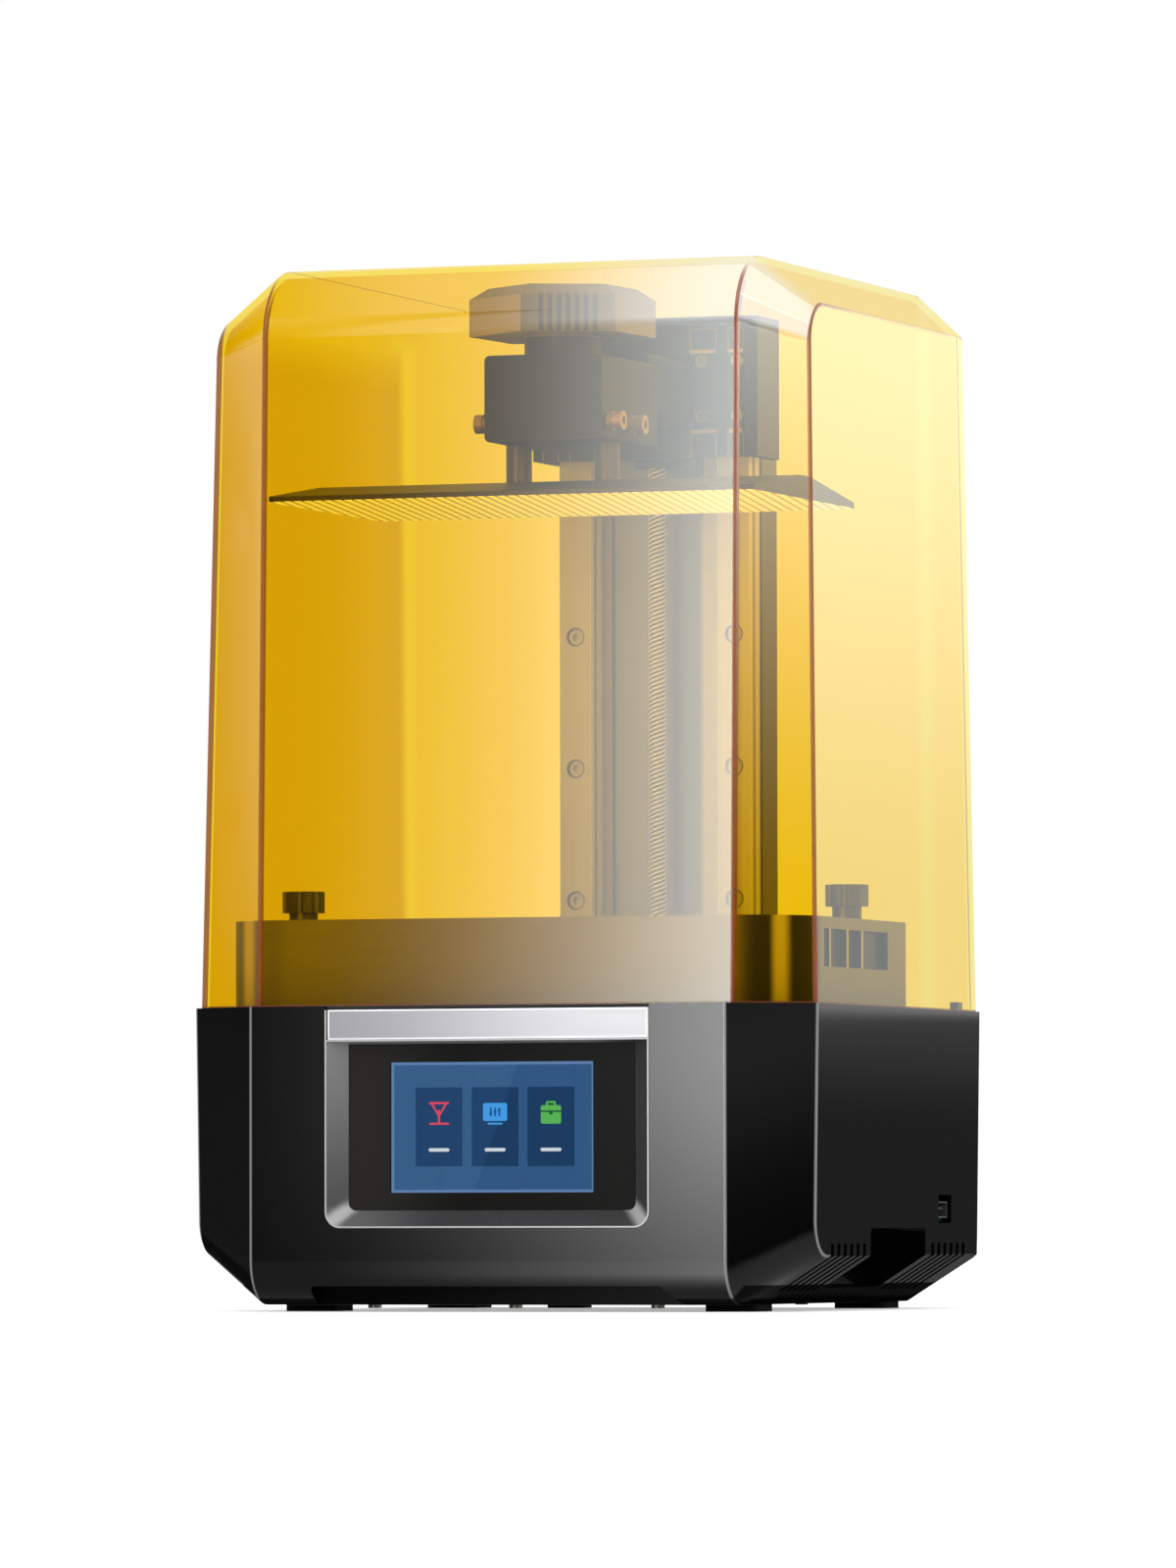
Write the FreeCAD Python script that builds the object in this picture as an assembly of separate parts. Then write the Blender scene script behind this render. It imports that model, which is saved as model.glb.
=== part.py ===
import FreeCAD, Part
import math
import os

# Desktop resin printer with a lift-off amber cover. Millimetres, +Z up, front towards -Y.
# The origin is on the table under the middle of the base.

os.makedirs("parts", exist_ok=True)

# Overall body
WIDTH = 290.0
DEPTH = 270.0
HEIGHT = 460.0
HALF_W = WIDTH / 2
HALF_D = DEPTH / 2
SEAM_Z = 133.4          # top of the base, where the cover sits
BODY_BOTTOM = 3.0       # underside of the base, above the feet
FACE_HALF = 110.0       # half width of the flat front and top faces
END_STEP = 22.7         # how far each end's outline is set in, front and back
BAND_TOP = 24.0         # upper edge of the sloped bands under the sides
FOOT_ROUND_MAIN = 19.0  # rounding of the front lower edge, middle of the base
FOOT_ROUND_END = 16.0   # the same rounding at the ends
BASE_TAPER = 1.6        # each side leans in this much from the seam to the band
BASE_WALL = 2.5
BASE_EDGE_ROUND = 0.8

# Cover
COVER_WALL = 3.0
COVER_EDGE_ROUND = 1.2
COVER_FRONT = -125.4
COVER_BACK = 134.0
COVER_SIDE = 143.5
COVER_END_FRONT = -109.5
COVER_END_BACK = 111.8
COVER_END_TOP = 438.0
COVER_ROUND_MAIN = 33.0
COVER_ROUND_END = 18.0
COVER_FRONT_LEAN = 6.7 / 286.6
COVER_SIDE_LEAN = 4.5 / 286.6
COVER_BACK_LEAN = 2.0 / 326.6

# Screen recess in the front
RECESS_HALF = 75.3
RECESS_BOTTOM = 36.4
BEZEL_HALF = 75.1
BEZEL_RIM = 0.6          # flat rim round the screen recess
GLASS_HALF = 66.4
GLASS_LOW = 44.4
GLASS_HIGH = 116.6
GLASS_Y = -128.0
STRIP_HALF = 74.1
STRIP_LOW = 118.8
STRIP_HIGH = 131.7

# Plate and vat share one centre line
PLATE_Y = -36.5
PLATE_HALF_X = 113.5
PLATE_HALF_Y = 70.0
PLATE_BOTTOM = 356.5
PLATE_EDGE = 2.4
PLATE_RIDGE = 10.5
RIDGE_HALF = 7.0
VAT_HALF_X = 136.0
VAT_FRONT = -115.0
VAT_BACK = 41.0
VAT_TOP = 171.8
VAT_ROUND_FRONT = 34.0
VAT_ROUND_BACK = 8.0
POCKET_HALF_X = 119.5
POCKET_FRONT = -109.0
POCKET_BACK = 36.0
REBATE_TOP = 136.05
FILM_THICK = 0.15
THUMB_X = 128.5
THUMB_Y = -25.0
THREAD_R = 3.0
RUN_GAP = 0.05

# Column and drive
COLUMN_HALF = 46.5
COLUMN_FRONT = 98.0
COLUMN_BACK = 119.0
COLUMN_TOP = 436.0
RAIL_X = 38.2
RAIL_HALF = 7.5
RAIL_FRONT = 83.0
RAIL_SCREW_PITCH = 60.0
RAIL_SCREW_FIRST = 185.0
RAIL_SCREWS = 5
SCREW_Y = 87.0
SCREW_R = 4.0
CARRIAGE_HALF = 54.0
CARRIAGE_FRONT = 68.0
CARRIAGE_LOW = 384.5
CARRIAGE_HIGH = 448.0
KNOB_TURN = 24.0        # degrees, as the knob stands
KNOB_R = 41.5
KNOB_LOW = 431.3
KNOB_SIDE_TOP = 447.8
KNOB_TOP = 452.9
BRACKET_HALF = 27.6
BRACKET_FRONT = -62.0
BRACKET_BACK = 10.5
BRACKET_LOW = 383.7
BRACKET_TOP = 422.1
POST_X = 20.8

# Inside the base
LIGHT_FRONT = PLATE_Y - 66.0
LIGHT_BACK = PLATE_Y + 66.0
LCD_FRONT = PLATE_Y - 68.0
LCD_BACK = PLATE_Y + 68.0
FAN_X = -65.0
FAN_Z = 76.0
FAN_HALF = 30.0
SWITCH_X = 86.0
SWITCH_Z = 69.5
SWITCH_PIVOT_Y = 131.5
INLET_X = 62.0
INLET_Z = 52.0
MOTOR_HALF = 21.15
MOTOR_LOW = 58.0
MOTOR_HIGH = 98.0


def vec(x, y, z):
    return FreeCAD.Vector(x, y, z)


def box(x0, x1, y0, y1, z0, z1):
    return Part.makeBox(x1 - x0, y1 - y0, z1 - z0, vec(x0, y0, z0))


def rod(radius, start, end):
    along = end.sub(start)
    return Part.makeCylinder(radius, along.Length, start, along)


def upright(radius, x, y, z0, z1):
    return rod(radius, vec(x, y, z0), vec(x, y, z1))


def rounded_box(x0, x1, y0, y1, z0, z1, radius, axis):
    """Box whose four edges along the named axis are rounded."""
    block = box(x0, x1, y0, y1, z0, z1)
    along = []
    for edge in block.Edges:
        ends = [getattr(vertex, axis) for vertex in edge.Vertexes]
        if abs(ends[0] - ends[1]) > 1e-6:
            along.append(edge)
    return block.makeFillet(radius, along)


def prism(points, along):
    """Straight solid from a closed chain of corner points."""
    loop = Part.makePolygon(points + [points[0]])
    return Part.Face(loop).extrude(along)


def mirrored(shape):
    return shape.mirror(vec(0, 0, 0), vec(1, 0, 0))


def both_sides(shape):
    return [shape, mirrored(shape)]


def joined(shapes):
    return shapes[0].fuse(shapes[1:]).removeSplitter()


def group(shapes):
    return Part.makeCompound(shapes)


def outline(corners, place):
    """Closed wire through (a, b, radius) corners; place turns a and b into a point in space."""
    count = len(corners)
    turns = []
    for i in range(count):
        here = vec(corners[i][0], corners[i][1], 0)
        back = vec(corners[i - 1][0], corners[i - 1][1], 0).sub(here).normalize()
        ahead_corner = corners[(i + 1) % count]
        ahead = vec(ahead_corner[0], ahead_corner[1], 0).sub(here).normalize()
        radius = corners[i][2]
        half = back.getAngle(ahead) / 2
        cut = radius / math.tan(half)
        inward = back.add(ahead).normalize()
        middle = here.add(inward * (radius / math.sin(half) - radius))
        turns.append((here.add(back * cut), middle, here.add(ahead * cut), radius))
    edges = []
    for i in range(count):
        start, middle, end, radius = turns[i]
        if radius > 0:
            arc = Part.Arc(place(start.x, start.y), place(middle.x, middle.y), place(end.x, end.y))
            edges.append(arc.toShape())
        following = turns[(i + 1) % count][0]
        edges.append(Part.makeLine(place(end.x, end.y), place(following.x, following.y)))
    return Part.Wire(edges)


def bevelled_body(main_corners, end_corners, face_half, end_x):
    """Solid with one outline across its middle and a smaller one at each end, joined by bevels."""
    middle_wire = outline(main_corners, lambda y, z: vec(-face_half, y, z))
    near = outline(main_corners, lambda y, z: vec(face_half, y, z))
    far = outline(end_corners, lambda y, z: vec(end_x(z), y, z))
    middle = Part.Face(middle_wire).extrude(vec(2 * face_half, 0, 0))
    right = Part.makeLoft([near, far], True, True)
    return joined([middle, right, mirrored(right)])


def crease_edges(body, face_half, end_x, keep):
    """Edges where the bevels meet the faces of a bevelled body, at the points that keep allows."""
    creases = []
    for edge in body.Edges:
        points = [vertex.Point for vertex in edge.Vertexes]
        on_main = all(abs(abs(p.x) - face_half) < 0.01 for p in points)
        on_end = all(abs(abs(p.x) - end_x(p.z)) < 0.01 for p in points)
        same_side = points[0].x * points[-1].x > 0
        if same_side and (on_main or on_end) and all(keep(p) for p in points):
            creases.append(edge)
    return creases


def base_side(z):
    """Half width of the base at the height z."""
    return HALF_W - BASE_TAPER * (SEAM_Z - z) / (SEAM_Z - BAND_TOP)


def base_body(inset, top):
    """The base's outside shape, shrunk by inset, up to the height top."""
    step = 0.55 * inset
    main = [
        (-HALF_D + inset, top, 0),
        (-HALF_D + inset, BODY_BOTTOM + inset, FOOT_ROUND_MAIN - inset),
        (HALF_D - inset, BODY_BOTTOM + inset, 0),
        (HALF_D - inset, top, 0),
    ]
    end = [
        (-HALF_D + END_STEP + step, top, 0),
        (-HALF_D + END_STEP + step, BAND_TOP + step, FOOT_ROUND_END - step),
        (HALF_D - END_STEP - step, BAND_TOP + step, 0),
        (HALF_D - END_STEP - step, top, 0),
    ]
    face_half = FACE_HALF - 0.29 * inset
    body = bevelled_body(main, end, face_half, lambda z: base_side(z) - inset)
    toe = prism(
        [
            vec(-HALF_W - 5, 112.5 - inset, -5),
            vec(-HALF_W - 5, 114.0 - inset, 22 + inset),
            vec(-HALF_W - 5, 140.0, 27.5 + inset),
            vec(-HALF_W - 5, 140.0, -5),
        ],
        vec(WIDTH + 10, 0, 0),
    )
    return body.cut(toe)


def screen_opening(half, low, high, radius, y):
    """Rectangle standing in the plane at y, its two lower corners rounded."""
    corners = [(-half, low, radius), (half, low, radius), (half, high, 0), (-half, high, 0)]
    return outline(corners, lambda x, z: vec(x, y, z))


def make_base_shell():
    outside = base_body(0, SEAM_Z)
    front_creases = crease_edges(outside, FACE_HALF, base_side, lambda p: p.y < -90)
    outside = outside.makeFillet(BASE_EDGE_ROUND, front_creases)
    shell = outside.cut(base_body(BASE_WALL, SEAM_Z))
    cup = box(114, 150, -40.5, 40.5, 6.5, 38.8).common(outside)
    toe = box(-86, 92, -140, -117, 0, 13.7).common(outside)
    shell = joined([shell, toe] + both_sides(cup))
    cuts = both_sides(rounded_box(116.5, 150, -38, 38, 10, 36, 1.5, "X"))
    for first in (-90.0, 48.5):
        for i in range(6):
            y = first + 8.7 * i
            cuts += both_sides(box(111, 150, y - 2, y + 2, 8.8, 29.4))
    for i in range(16):
        y = -80 + 7.5 * i
        cuts += both_sides(box(110.5, 150, y - 1.75, y + 1.75, 4.6, 7.2))
    cuts.append(box(138, 150, 56.2, 74.4, 38.3, 50.8))
    opening = screen_opening(RECESS_HALF, RECESS_BOTTOM, SEAM_Z + 20, 7.2, -HALF_D - 5)
    cuts.append(Part.Face(opening).extrude(vec(0, 10, 0)))
    cuts.append(box(-104, 104, -108, 104, 0, 9))
    notch = [
        vec(-83.5, -HALF_D - 5, 0),
        vec(-83.5, -HALF_D - 5, 9.8),
        vec(-82, -HALF_D - 5, 11.2),
        vec(79, -HALF_D - 5, 11.2),
        vec(89, -HALF_D - 5, 0),
    ]
    cuts.append(prism(notch, vec(0, 20.5, 0)))
    cuts.append(rounded_box(-98, 98, 125, 140, 34, 124, 4, "Y"))
    return shell.cut(cuts)


def make_bottom_plate():
    plate = box(-103.6, 103.6, -107.6, 103.6, BODY_BOTTOM, BODY_BOTTOM + 1.6)
    slots = []
    for i in range(9):
        x = -48 + 12 * i
        slots.append(rounded_box(x - 2.5, x + 2.5, -70, -10, 0, 9, 2.4, "Z"))
    return plate.cut(slots)


def make_feet():
    feet = []
    for y in (-83.0, 91.0):
        for x in (-98.0, 98.0):
            feet.append(rounded_box(x - 12, x + 12, y - 12, y + 12, 0, BODY_BOTTOM, 3, "Z"))
    feet.append(rounded_box(-53, -36, 82.5, 99.5, 0, BODY_BOTTOM, 3, "Z"))
    return group(feet)


def make_base_screws():
    heads = []
    for y in (-98.0, 94.0):
        for x in (-66.0, 0.0, 66.0):
            head = upright(3, x, y, BODY_BOTTOM - 1.5, BODY_BOTTOM)
            socket = upright(1.2, x, y, BODY_BOTTOM - 2, BODY_BOTTOM - 0.6)
            heads.append(head.cut(socket))
    return group(heads)


def make_deck_plate():
    deck = base_body(BASE_WALL + 0.3, SEAM_Z).common(box(-150, 150, -150, 150, 130.4, SEAM_Z))
    cuts = [box(-115.2, 115.2, LCD_FRONT - 0.2, LCD_BACK + 0.2, 120, 140)]
    cuts.append(upright(6.5, 0, SCREW_Y, 120, 140))
    cuts += both_sides(upright(THREAD_R + RUN_GAP, THUMB_X, THUMB_Y, 120, 140))
    return deck.cut(cuts)


def make_cover_locators():
    return group(both_sides(rounded_box(134.5, 138.5, 100.8, 108.2, SEAM_Z, SEAM_Z + 4.2, 1, "Z")))


def make_rear_panel():
    panel = box(-101, 101, 130.3, 132.3, 31, 127)
    cuts = [rod(5.8, vec(INLET_X, 125, INLET_Z), vec(INLET_X, 140, INLET_Z))]
    cuts.append(box(SWITCH_X - 6.7, SWITCH_X + 6.7, 125, 140, SWITCH_Z - 9.7, SWITCH_Z + 9.7))
    for i in range(9):
        x = FAN_X - 22.4 + 5.6 * i
        reach = math.sqrt(27.0 ** 2 - (x - FAN_X) ** 2)
        cuts.append(box(x - 1.7, x + 1.7, 125, 140, FAN_Z - reach, FAN_Z + reach))
    return panel.cut(cuts)


def make_front_bezel():
    """Sloped frame round the glass, its rim running on upward past both ends of the trim strip."""
    half = BEZEL_HALF - BEZEL_RIM
    low = RECESS_BOTTOM + 0.2
    frame = Part.Face(screen_opening(BEZEL_HALF, low, STRIP_HIGH, 7.0, -HALF_D)).extrude(vec(0, 9, 0))
    front = screen_opening(half, low + BEZEL_RIM, STRIP_LOW - 0.9, 6.4, -HALF_D - 0.02)
    back = screen_opening(GLASS_HALF + 0.2, GLASS_LOW - 0.2, GLASS_HIGH + 0.2, 3.2, GLASS_Y)
    funnel = Part.makeLoft([front, back], True, True)
    through = Part.Face(back).extrude(vec(0, 6, 0))
    strip_seat = box(-half, half, -HALF_D - 1, -132.4, STRIP_LOW - 0.2, STRIP_HIGH + 1)
    behind_seat = box(-80, 80, -130.6, -120, STRIP_LOW - 0.2, STRIP_HIGH + 1)
    under_deck = box(-80, 80, -132.4, -120, 130.2, STRIP_HIGH + 1)
    return frame.cut([funnel, through, strip_seat, behind_seat, under_deck])


def make_trim_strip():
    return rounded_box(-STRIP_HALF, STRIP_HALF, -133.6, -132.4, STRIP_LOW, STRIP_HIGH, 0.4, "Y")


def make_touch_glass():
    wire = screen_opening(GLASS_HALF, GLASS_LOW, GLASS_HIGH, 3.0, GLASS_Y)
    return Part.Face(wire).extrude(vec(0, 1.6, 0))


def make_display():
    return box(-47.2, 47.2, GLASS_Y + 1.6, GLASS_Y + 4.4, 51.8, 108.8)


def make_display_board():
    board = box(-60, 60, GLASS_Y + 4.4, GLASS_Y + 6, 47, 113)
    plugs = [board]
    for x in (-40.0, 10.0):
        plugs.append(box(x, x + 18, GLASS_Y + 6, GLASS_Y + 11, 52, 58))
    return joined(plugs)


def make_lcd_panel():
    return box(-115, 115, LCD_FRONT, LCD_BACK, 131, 134.8)


def make_screen_glass():
    return box(-115, 115, LCD_FRONT, LCD_BACK, 134.8, 135.8)


def make_light_box():
    outer = box(-112, 112, LIGHT_FRONT, LIGHT_BACK, 61.8, 129.9)
    return outer.cut(box(-110, 110, LIGHT_FRONT + 2, LIGHT_BACK - 2, 50, 140))


def make_light_lens():
    return box(-109.8, 109.8, LIGHT_FRONT + 2.2, LIGHT_BACK - 2.2, 104, 107)


def make_led_board():
    board = [box(-112, 112, LIGHT_FRONT, LIGHT_BACK, 60, 61.8)]
    for i in range(8):
        for j in range(5):
            x = -91 + 26 * i
            y = PLATE_Y - 50 + 25 * j
            board.append(box(x - 3, x + 3, y - 3, y + 3, 61.8, 63.6))
    return joined(board)


def make_heat_sink():
    sink = [box(-105, 105, PLATE_Y - 58, PLATE_Y + 58, 55, 60)]
    for i in range(15):
        x = -98 + 14 * i
        sink.append(box(x - 1.2, x + 1.2, PLATE_Y - 58, PLATE_Y + 58, 40, 55))
    return joined(sink)


def make_fan_frame():
    frame = rounded_box(
        FAN_X - FAN_HALF, FAN_X + FAN_HALF, 105, 130, FAN_Z - FAN_HALF, FAN_Z + FAN_HALF, 4, "Y"
    )
    frame = frame.cut(rod(28, vec(FAN_X, 100, FAN_Z), vec(FAN_X, 140, FAN_Z)))
    parts = [frame, rod(13, vec(FAN_X, 127, FAN_Z), vec(FAN_X, 130, FAN_Z))]
    for turn in (45, 135, 225, 315):
        strut = box(FAN_X + 12, FAN_X + 29, 127, 130, FAN_Z - 2, FAN_Z + 2)
        strut.rotate(vec(FAN_X, 0, FAN_Z), vec(0, 1, 0), turn)
        parts.append(strut)
    return joined(parts).cut(rod(1.5 + RUN_GAP, vec(FAN_X, 120, FAN_Z), vec(FAN_X, 129, FAN_Z)))


def make_fan_rotor():
    hub = rod(12.5, vec(FAN_X, 108, FAN_Z), vec(FAN_X, 126.5, FAN_Z))
    parts = [hub, rod(1.5, vec(FAN_X, 126, FAN_Z), vec(FAN_X, 128.8, FAN_Z))]
    for i in range(7):
        blade = box(FAN_X + 11, FAN_X + 27, -7, 7, FAN_Z - 0.9, FAN_Z + 0.9)
        blade.rotate(vec(FAN_X, 0, FAN_Z), vec(1, 0, 0), 38)
        blade.translate(vec(0, 117, 0))
        blade.rotate(vec(FAN_X, 0, FAN_Z), vec(0, 1, 0), 360 / 7 * i)
        parts.append(blade)
    return joined(parts)


def make_fan_screws():
    heads = []
    for x in (FAN_X - 25, FAN_X + 25):
        for z in (FAN_Z - 25, FAN_Z + 25):
            head = rod(3, vec(x, 132.3, z), vec(x, 134, z))
            heads.append(head.cut(rod(1.2, vec(x, 133.2, z), vec(x, 135, z))))
    return group(heads)


def make_mainboard():
    board = [box(40, 132, 43, 106, 33, 34.6)]
    for x, y, size, tall in ((58, 60, 14, 2.2), (84, 58, 9, 2), (64, 88, 11, 7), (92, 84, 11, 7)):
        board.append(box(x, x + size, y, y + size, 34.6, 34.6 + tall))
    board.append(box(44, 52, 50, 100, 34.6, 42))
    return joined(board)


def make_board_standoffs():
    posts = []
    for x in (48.0, 98.0):
        for y in (48.0, 100.0):
            posts.append(upright(3, x, y, BODY_BOTTOM + 1.6, 33))
    for y in (59.0, 72.0):
        posts.append(upright(2.5, 117, y, 34.6, 39))
    return group(posts)


def make_usb_board():
    return box(112, 139, 55.5, 75.1, 39, 40.6)


def make_usb_socket():
    body = box(126, 142.3, 58.1, 72.5, 40.6, 47.8)
    body = body.cut(box(128, 145, 58.7, 71.9, 41.2, 47.2))
    return joined([body, box(127.5, 140.5, 59.6, 71.0, 44.6, 46.2)])


def make_dc_inlet():
    back = box(INLET_X - 7, INLET_X + 7, 116, 130.3, INLET_Z - 7, INLET_Z + 7)
    barrel = rod(5.6, vec(INLET_X, 130, INLET_Z), vec(INLET_X, 134.5, INLET_Z))
    hole = rod(3.2, vec(INLET_X, 122, INLET_Z), vec(INLET_X, 140, INLET_Z))
    return joined([back, barrel]).cut(hole)


def make_inlet_pin():
    return rod(1.0, vec(INLET_X, 122, INLET_Z), vec(INLET_X, 133, INLET_Z))


def make_switch_body():
    body = box(SWITCH_X - 6.5, SWITCH_X + 6.5, 114, 132.3, SWITCH_Z - 9.5, SWITCH_Z + 9.5)
    rim = rounded_box(
        SWITCH_X - 7.5, SWITCH_X + 7.5, 132.3, 133.6, SWITCH_Z - 10.5, SWITCH_Z + 10.5, 1, "Y"
    )
    well = box(SWITCH_X - 5.2, SWITCH_X + 5.2, 124, 140, SWITCH_Z - 8.6, SWITCH_Z + 8.6)
    pivot = rod(
        1.0 + RUN_GAP,
        vec(SWITCH_X - 6.2, SWITCH_PIVOT_Y, SWITCH_Z),
        vec(SWITCH_X + 6.2, SWITCH_PIVOT_Y, SWITCH_Z),
    )
    return joined([body, rim]).cut([well, pivot])


def make_switch_rocker():
    """Rocker with a shallow V face, its lower half pressed in."""
    reach = 7.6
    section = [
        vec(SWITCH_X - 4.9, SWITCH_PIVOT_Y - 3.5, SWITCH_Z - 3.5),
        vec(SWITCH_X - 4.9, SWITCH_PIVOT_Y - 3.5, SWITCH_Z + 3.5),
        vec(SWITCH_X - 4.9, SWITCH_PIVOT_Y - 0.5, SWITCH_Z + reach),
        vec(SWITCH_X - 4.9, SWITCH_PIVOT_Y + 3.0, SWITCH_Z + reach),
        vec(SWITCH_X - 4.9, SWITCH_PIVOT_Y + 1.8, SWITCH_Z),
        vec(SWITCH_X - 4.9, SWITCH_PIVOT_Y + 0.4, SWITCH_Z - reach),
        vec(SWITCH_X - 4.9, SWITCH_PIVOT_Y - 0.5, SWITCH_Z - reach),
    ]
    pin = rod(
        1.0,
        vec(SWITCH_X - 6.0, SWITCH_PIVOT_Y, SWITCH_Z),
        vec(SWITCH_X + 6.0, SWITCH_PIVOT_Y, SWITCH_Z),
    )
    return joined([prism(section, vec(9.8, 0, 0)), pin])


def make_z_motor():
    low = SCREW_Y - MOTOR_HALF
    high = SCREW_Y + MOTOR_HALF
    body = rounded_box(-MOTOR_HALF, MOTOR_HALF, low, high, MOTOR_LOW, MOTOR_HIGH, 4, "Z")
    pilot = upright(11, 0, SCREW_Y, MOTOR_HIGH - 1, MOTOR_HIGH + 2)
    return joined([body, pilot]).cut(upright(2.5 + RUN_GAP, 0, SCREW_Y, 62, 120))


def make_motor_shaft():
    return upright(2.5, 0, SCREW_Y, 63, 115)


def make_motor_bracket():
    plate = box(-27, 27, SCREW_Y - 26, SCREW_Y + 26, MOTOR_HIGH, MOTOR_HIGH + 3)
    plate = plate.cut(upright(11.2, 0, SCREW_Y, 90, 110))
    wall = box(24, 27, SCREW_Y - 26, SCREW_Y + 26, MOTOR_HIGH, 130.4)
    return joined([plate] + both_sides(wall))


def make_shaft_coupling():
    body = upright(9.5, 0, SCREW_Y, 103, 129)
    return body.cut([upright(2.5, 0, SCREW_Y, 100, 116), upright(SCREW_R, 0, SCREW_Y, 116, 140)])


def make_lead_screw():
    return upright(SCREW_R, 0, SCREW_Y, 116.2, COLUMN_TOP)


def rail_screw_heights():
    return [RAIL_SCREW_FIRST + RAIL_SCREW_PITCH * i for i in range(RAIL_SCREWS)]


def make_column():
    column = box(-COLUMN_HALF, COLUMN_HALF, COLUMN_FRONT, COLUMN_BACK, SEAM_Z, COLUMN_TOP)
    cuts = [box(-26, 26, COLUMN_FRONT - 1, COLUMN_FRONT + 4, SEAM_Z - 1, COLUMN_TOP + 1)]
    for z in rail_screw_heights():
        hole = rod(2.1, vec(RAIL_X, COLUMN_FRONT - 1, z), vec(RAIL_X, COLUMN_FRONT + 9, z))
        cuts += both_sides(hole)
    return column.cut(cuts)


def make_guide_rails():
    low = SEAM_Z + 2.0
    rail = box(RAIL_X - RAIL_HALF, RAIL_X + RAIL_HALF, RAIL_FRONT, COLUMN_FRONT, low, COLUMN_TOP - 2)
    cuts = []
    for x in (RAIL_X - RAIL_HALF, RAIL_X + RAIL_HALF):
        groove = box(x - 1.8, x + 1.8, RAIL_FRONT + 4.5, RAIL_FRONT + 8.5, low - 1, COLUMN_TOP)
        cuts.append(groove)
    for z in rail_screw_heights():
        cuts.append(rod(3.75, vec(RAIL_X, RAIL_FRONT - 1, z), vec(RAIL_X, RAIL_FRONT + 5, z)))
        cuts.append(rod(2.25, vec(RAIL_X, RAIL_FRONT, z), vec(RAIL_X, COLUMN_FRONT + 1, z)))
    return group(both_sides(rail.cut(cuts)))


def cap_screw(head_r, head_h, shank_r, shank_l):
    """Socket-head screw along +X, the underside of its head at the origin."""
    head = rod(head_r, vec(0, 0, 0), vec(head_h, 0, 0))
    shank = rod(shank_r, vec(-shank_l, 0, 0), vec(0.2, 0, 0))
    key = []
    for i in range(6):
        turn = math.radians(60 * i)
        key.append(vec(head_h * 0.45, 0.55 * head_r * math.cos(turn), 0.55 * head_r * math.sin(turn)))
    return joined([head, shank]).cut(prism(key, vec(head_h, 0, 0)))


def front_screw(x, y, z, head_r, head_h, shank_r, shank_l):
    """Socket-head screw with its head towards the front."""
    screw = cap_screw(head_r, head_h, shank_r, shank_l)
    screw.rotate(vec(0, 0, 0), vec(0, 0, 1), -90)
    screw.translate(vec(x, y, z))
    return screw


def make_rail_screws():
    screws = []
    for z in rail_screw_heights():
        for x in (-RAIL_X, RAIL_X):
            screws.append(front_screw(x, RAIL_FRONT + 5, z, 3.5, 3.6, 2.0, 17))
    return group(screws)


def make_rail_sliders():
    block = box(24.2, 49.5, 76.2, 96.8, CARRIAGE_LOW + 2, 445)
    channel = box(RAIL_X - 7.8, RAIL_X + 7.8, RAIL_FRONT - 0.3, 99, 380, 450)
    return group(both_sides(block.cut(channel)))


def make_carriage():
    plate = box(-CARRIAGE_HALF, CARRIAGE_HALF, CARRIAGE_FRONT, 76, CARRIAGE_LOW, CARRIAGE_HIGH)
    cheek = box(50, CARRIAGE_HALF, 76, 101, CARRIAGE_LOW, CARRIAGE_HIGH)
    seat = box(-13, 13, 76, 96.5, CARRIAGE_LOW, 402).cut(upright(5.15, 0, SCREW_Y, 370, 410))
    body = joined([plate, seat] + both_sides(cheek))
    bevel = prism(
        [vec(49, 67, 370), vec(49, CARRIAGE_FRONT, 370), vec(55, 71.6, 370), vec(55, 67, 370)],
        vec(0, 0, 90),
    )
    cuts = both_sides(bevel)
    for low, high in ((CARRIAGE_LOW - 5, 395.0), (432.8, 442.2)):
        for left, right in ((23.0, 35.0), (41.0, 48.0)):
            cuts += both_sides(box(left, right, 60, CARRIAGE_FRONT + 2.5, low, high))
    for x, z in carriage_screw_spots():
        cuts.append(rod(1.6, vec(x, 60, z), vec(x, 75, z)))
    return body.cut(cuts)


def carriage_screw_spots():
    spots = []
    for z in (402.5, 427.5):
        for x in (-46.0, -29.0, 29.0, 46.0):
            spots.append((x, z))
    return spots


def make_carriage_screws():
    screws = []
    for x, z in carriage_screw_spots():
        screws.append(front_screw(x, CARRIAGE_FRONT, z, 2.75, 2.8, 1.5, 6))
    return group(screws)


def make_drive_nut():
    flange = upright(10, 0, SCREW_Y, CARRIAGE_LOW - 3.5, CARRIAGE_LOW)
    body = joined([upright(5.1, 0, SCREW_Y, CARRIAGE_LOW - 1, 400), flange])
    return body.cut(upright(SCREW_R + RUN_GAP, 0, SCREW_Y, 370, 410))


def make_limit_switch():
    body = box(14, 24, 88, 97, SEAM_Z, 145)
    return body.cut(box(17, 21, 80, 100, 137, 150))


def make_limit_flag():
    return joined([box(18.4, 19.6, 89, 95, 360, 400), box(13, 19, 89, 95, 388, 398)])


def make_plate_arm():
    arm = rounded_box(-24, 24, 12, CARRIAGE_FRONT, 398, 428, 5, "Y")
    return joined([arm, box(-17, 17, -52, 13, 399, 411)])


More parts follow.
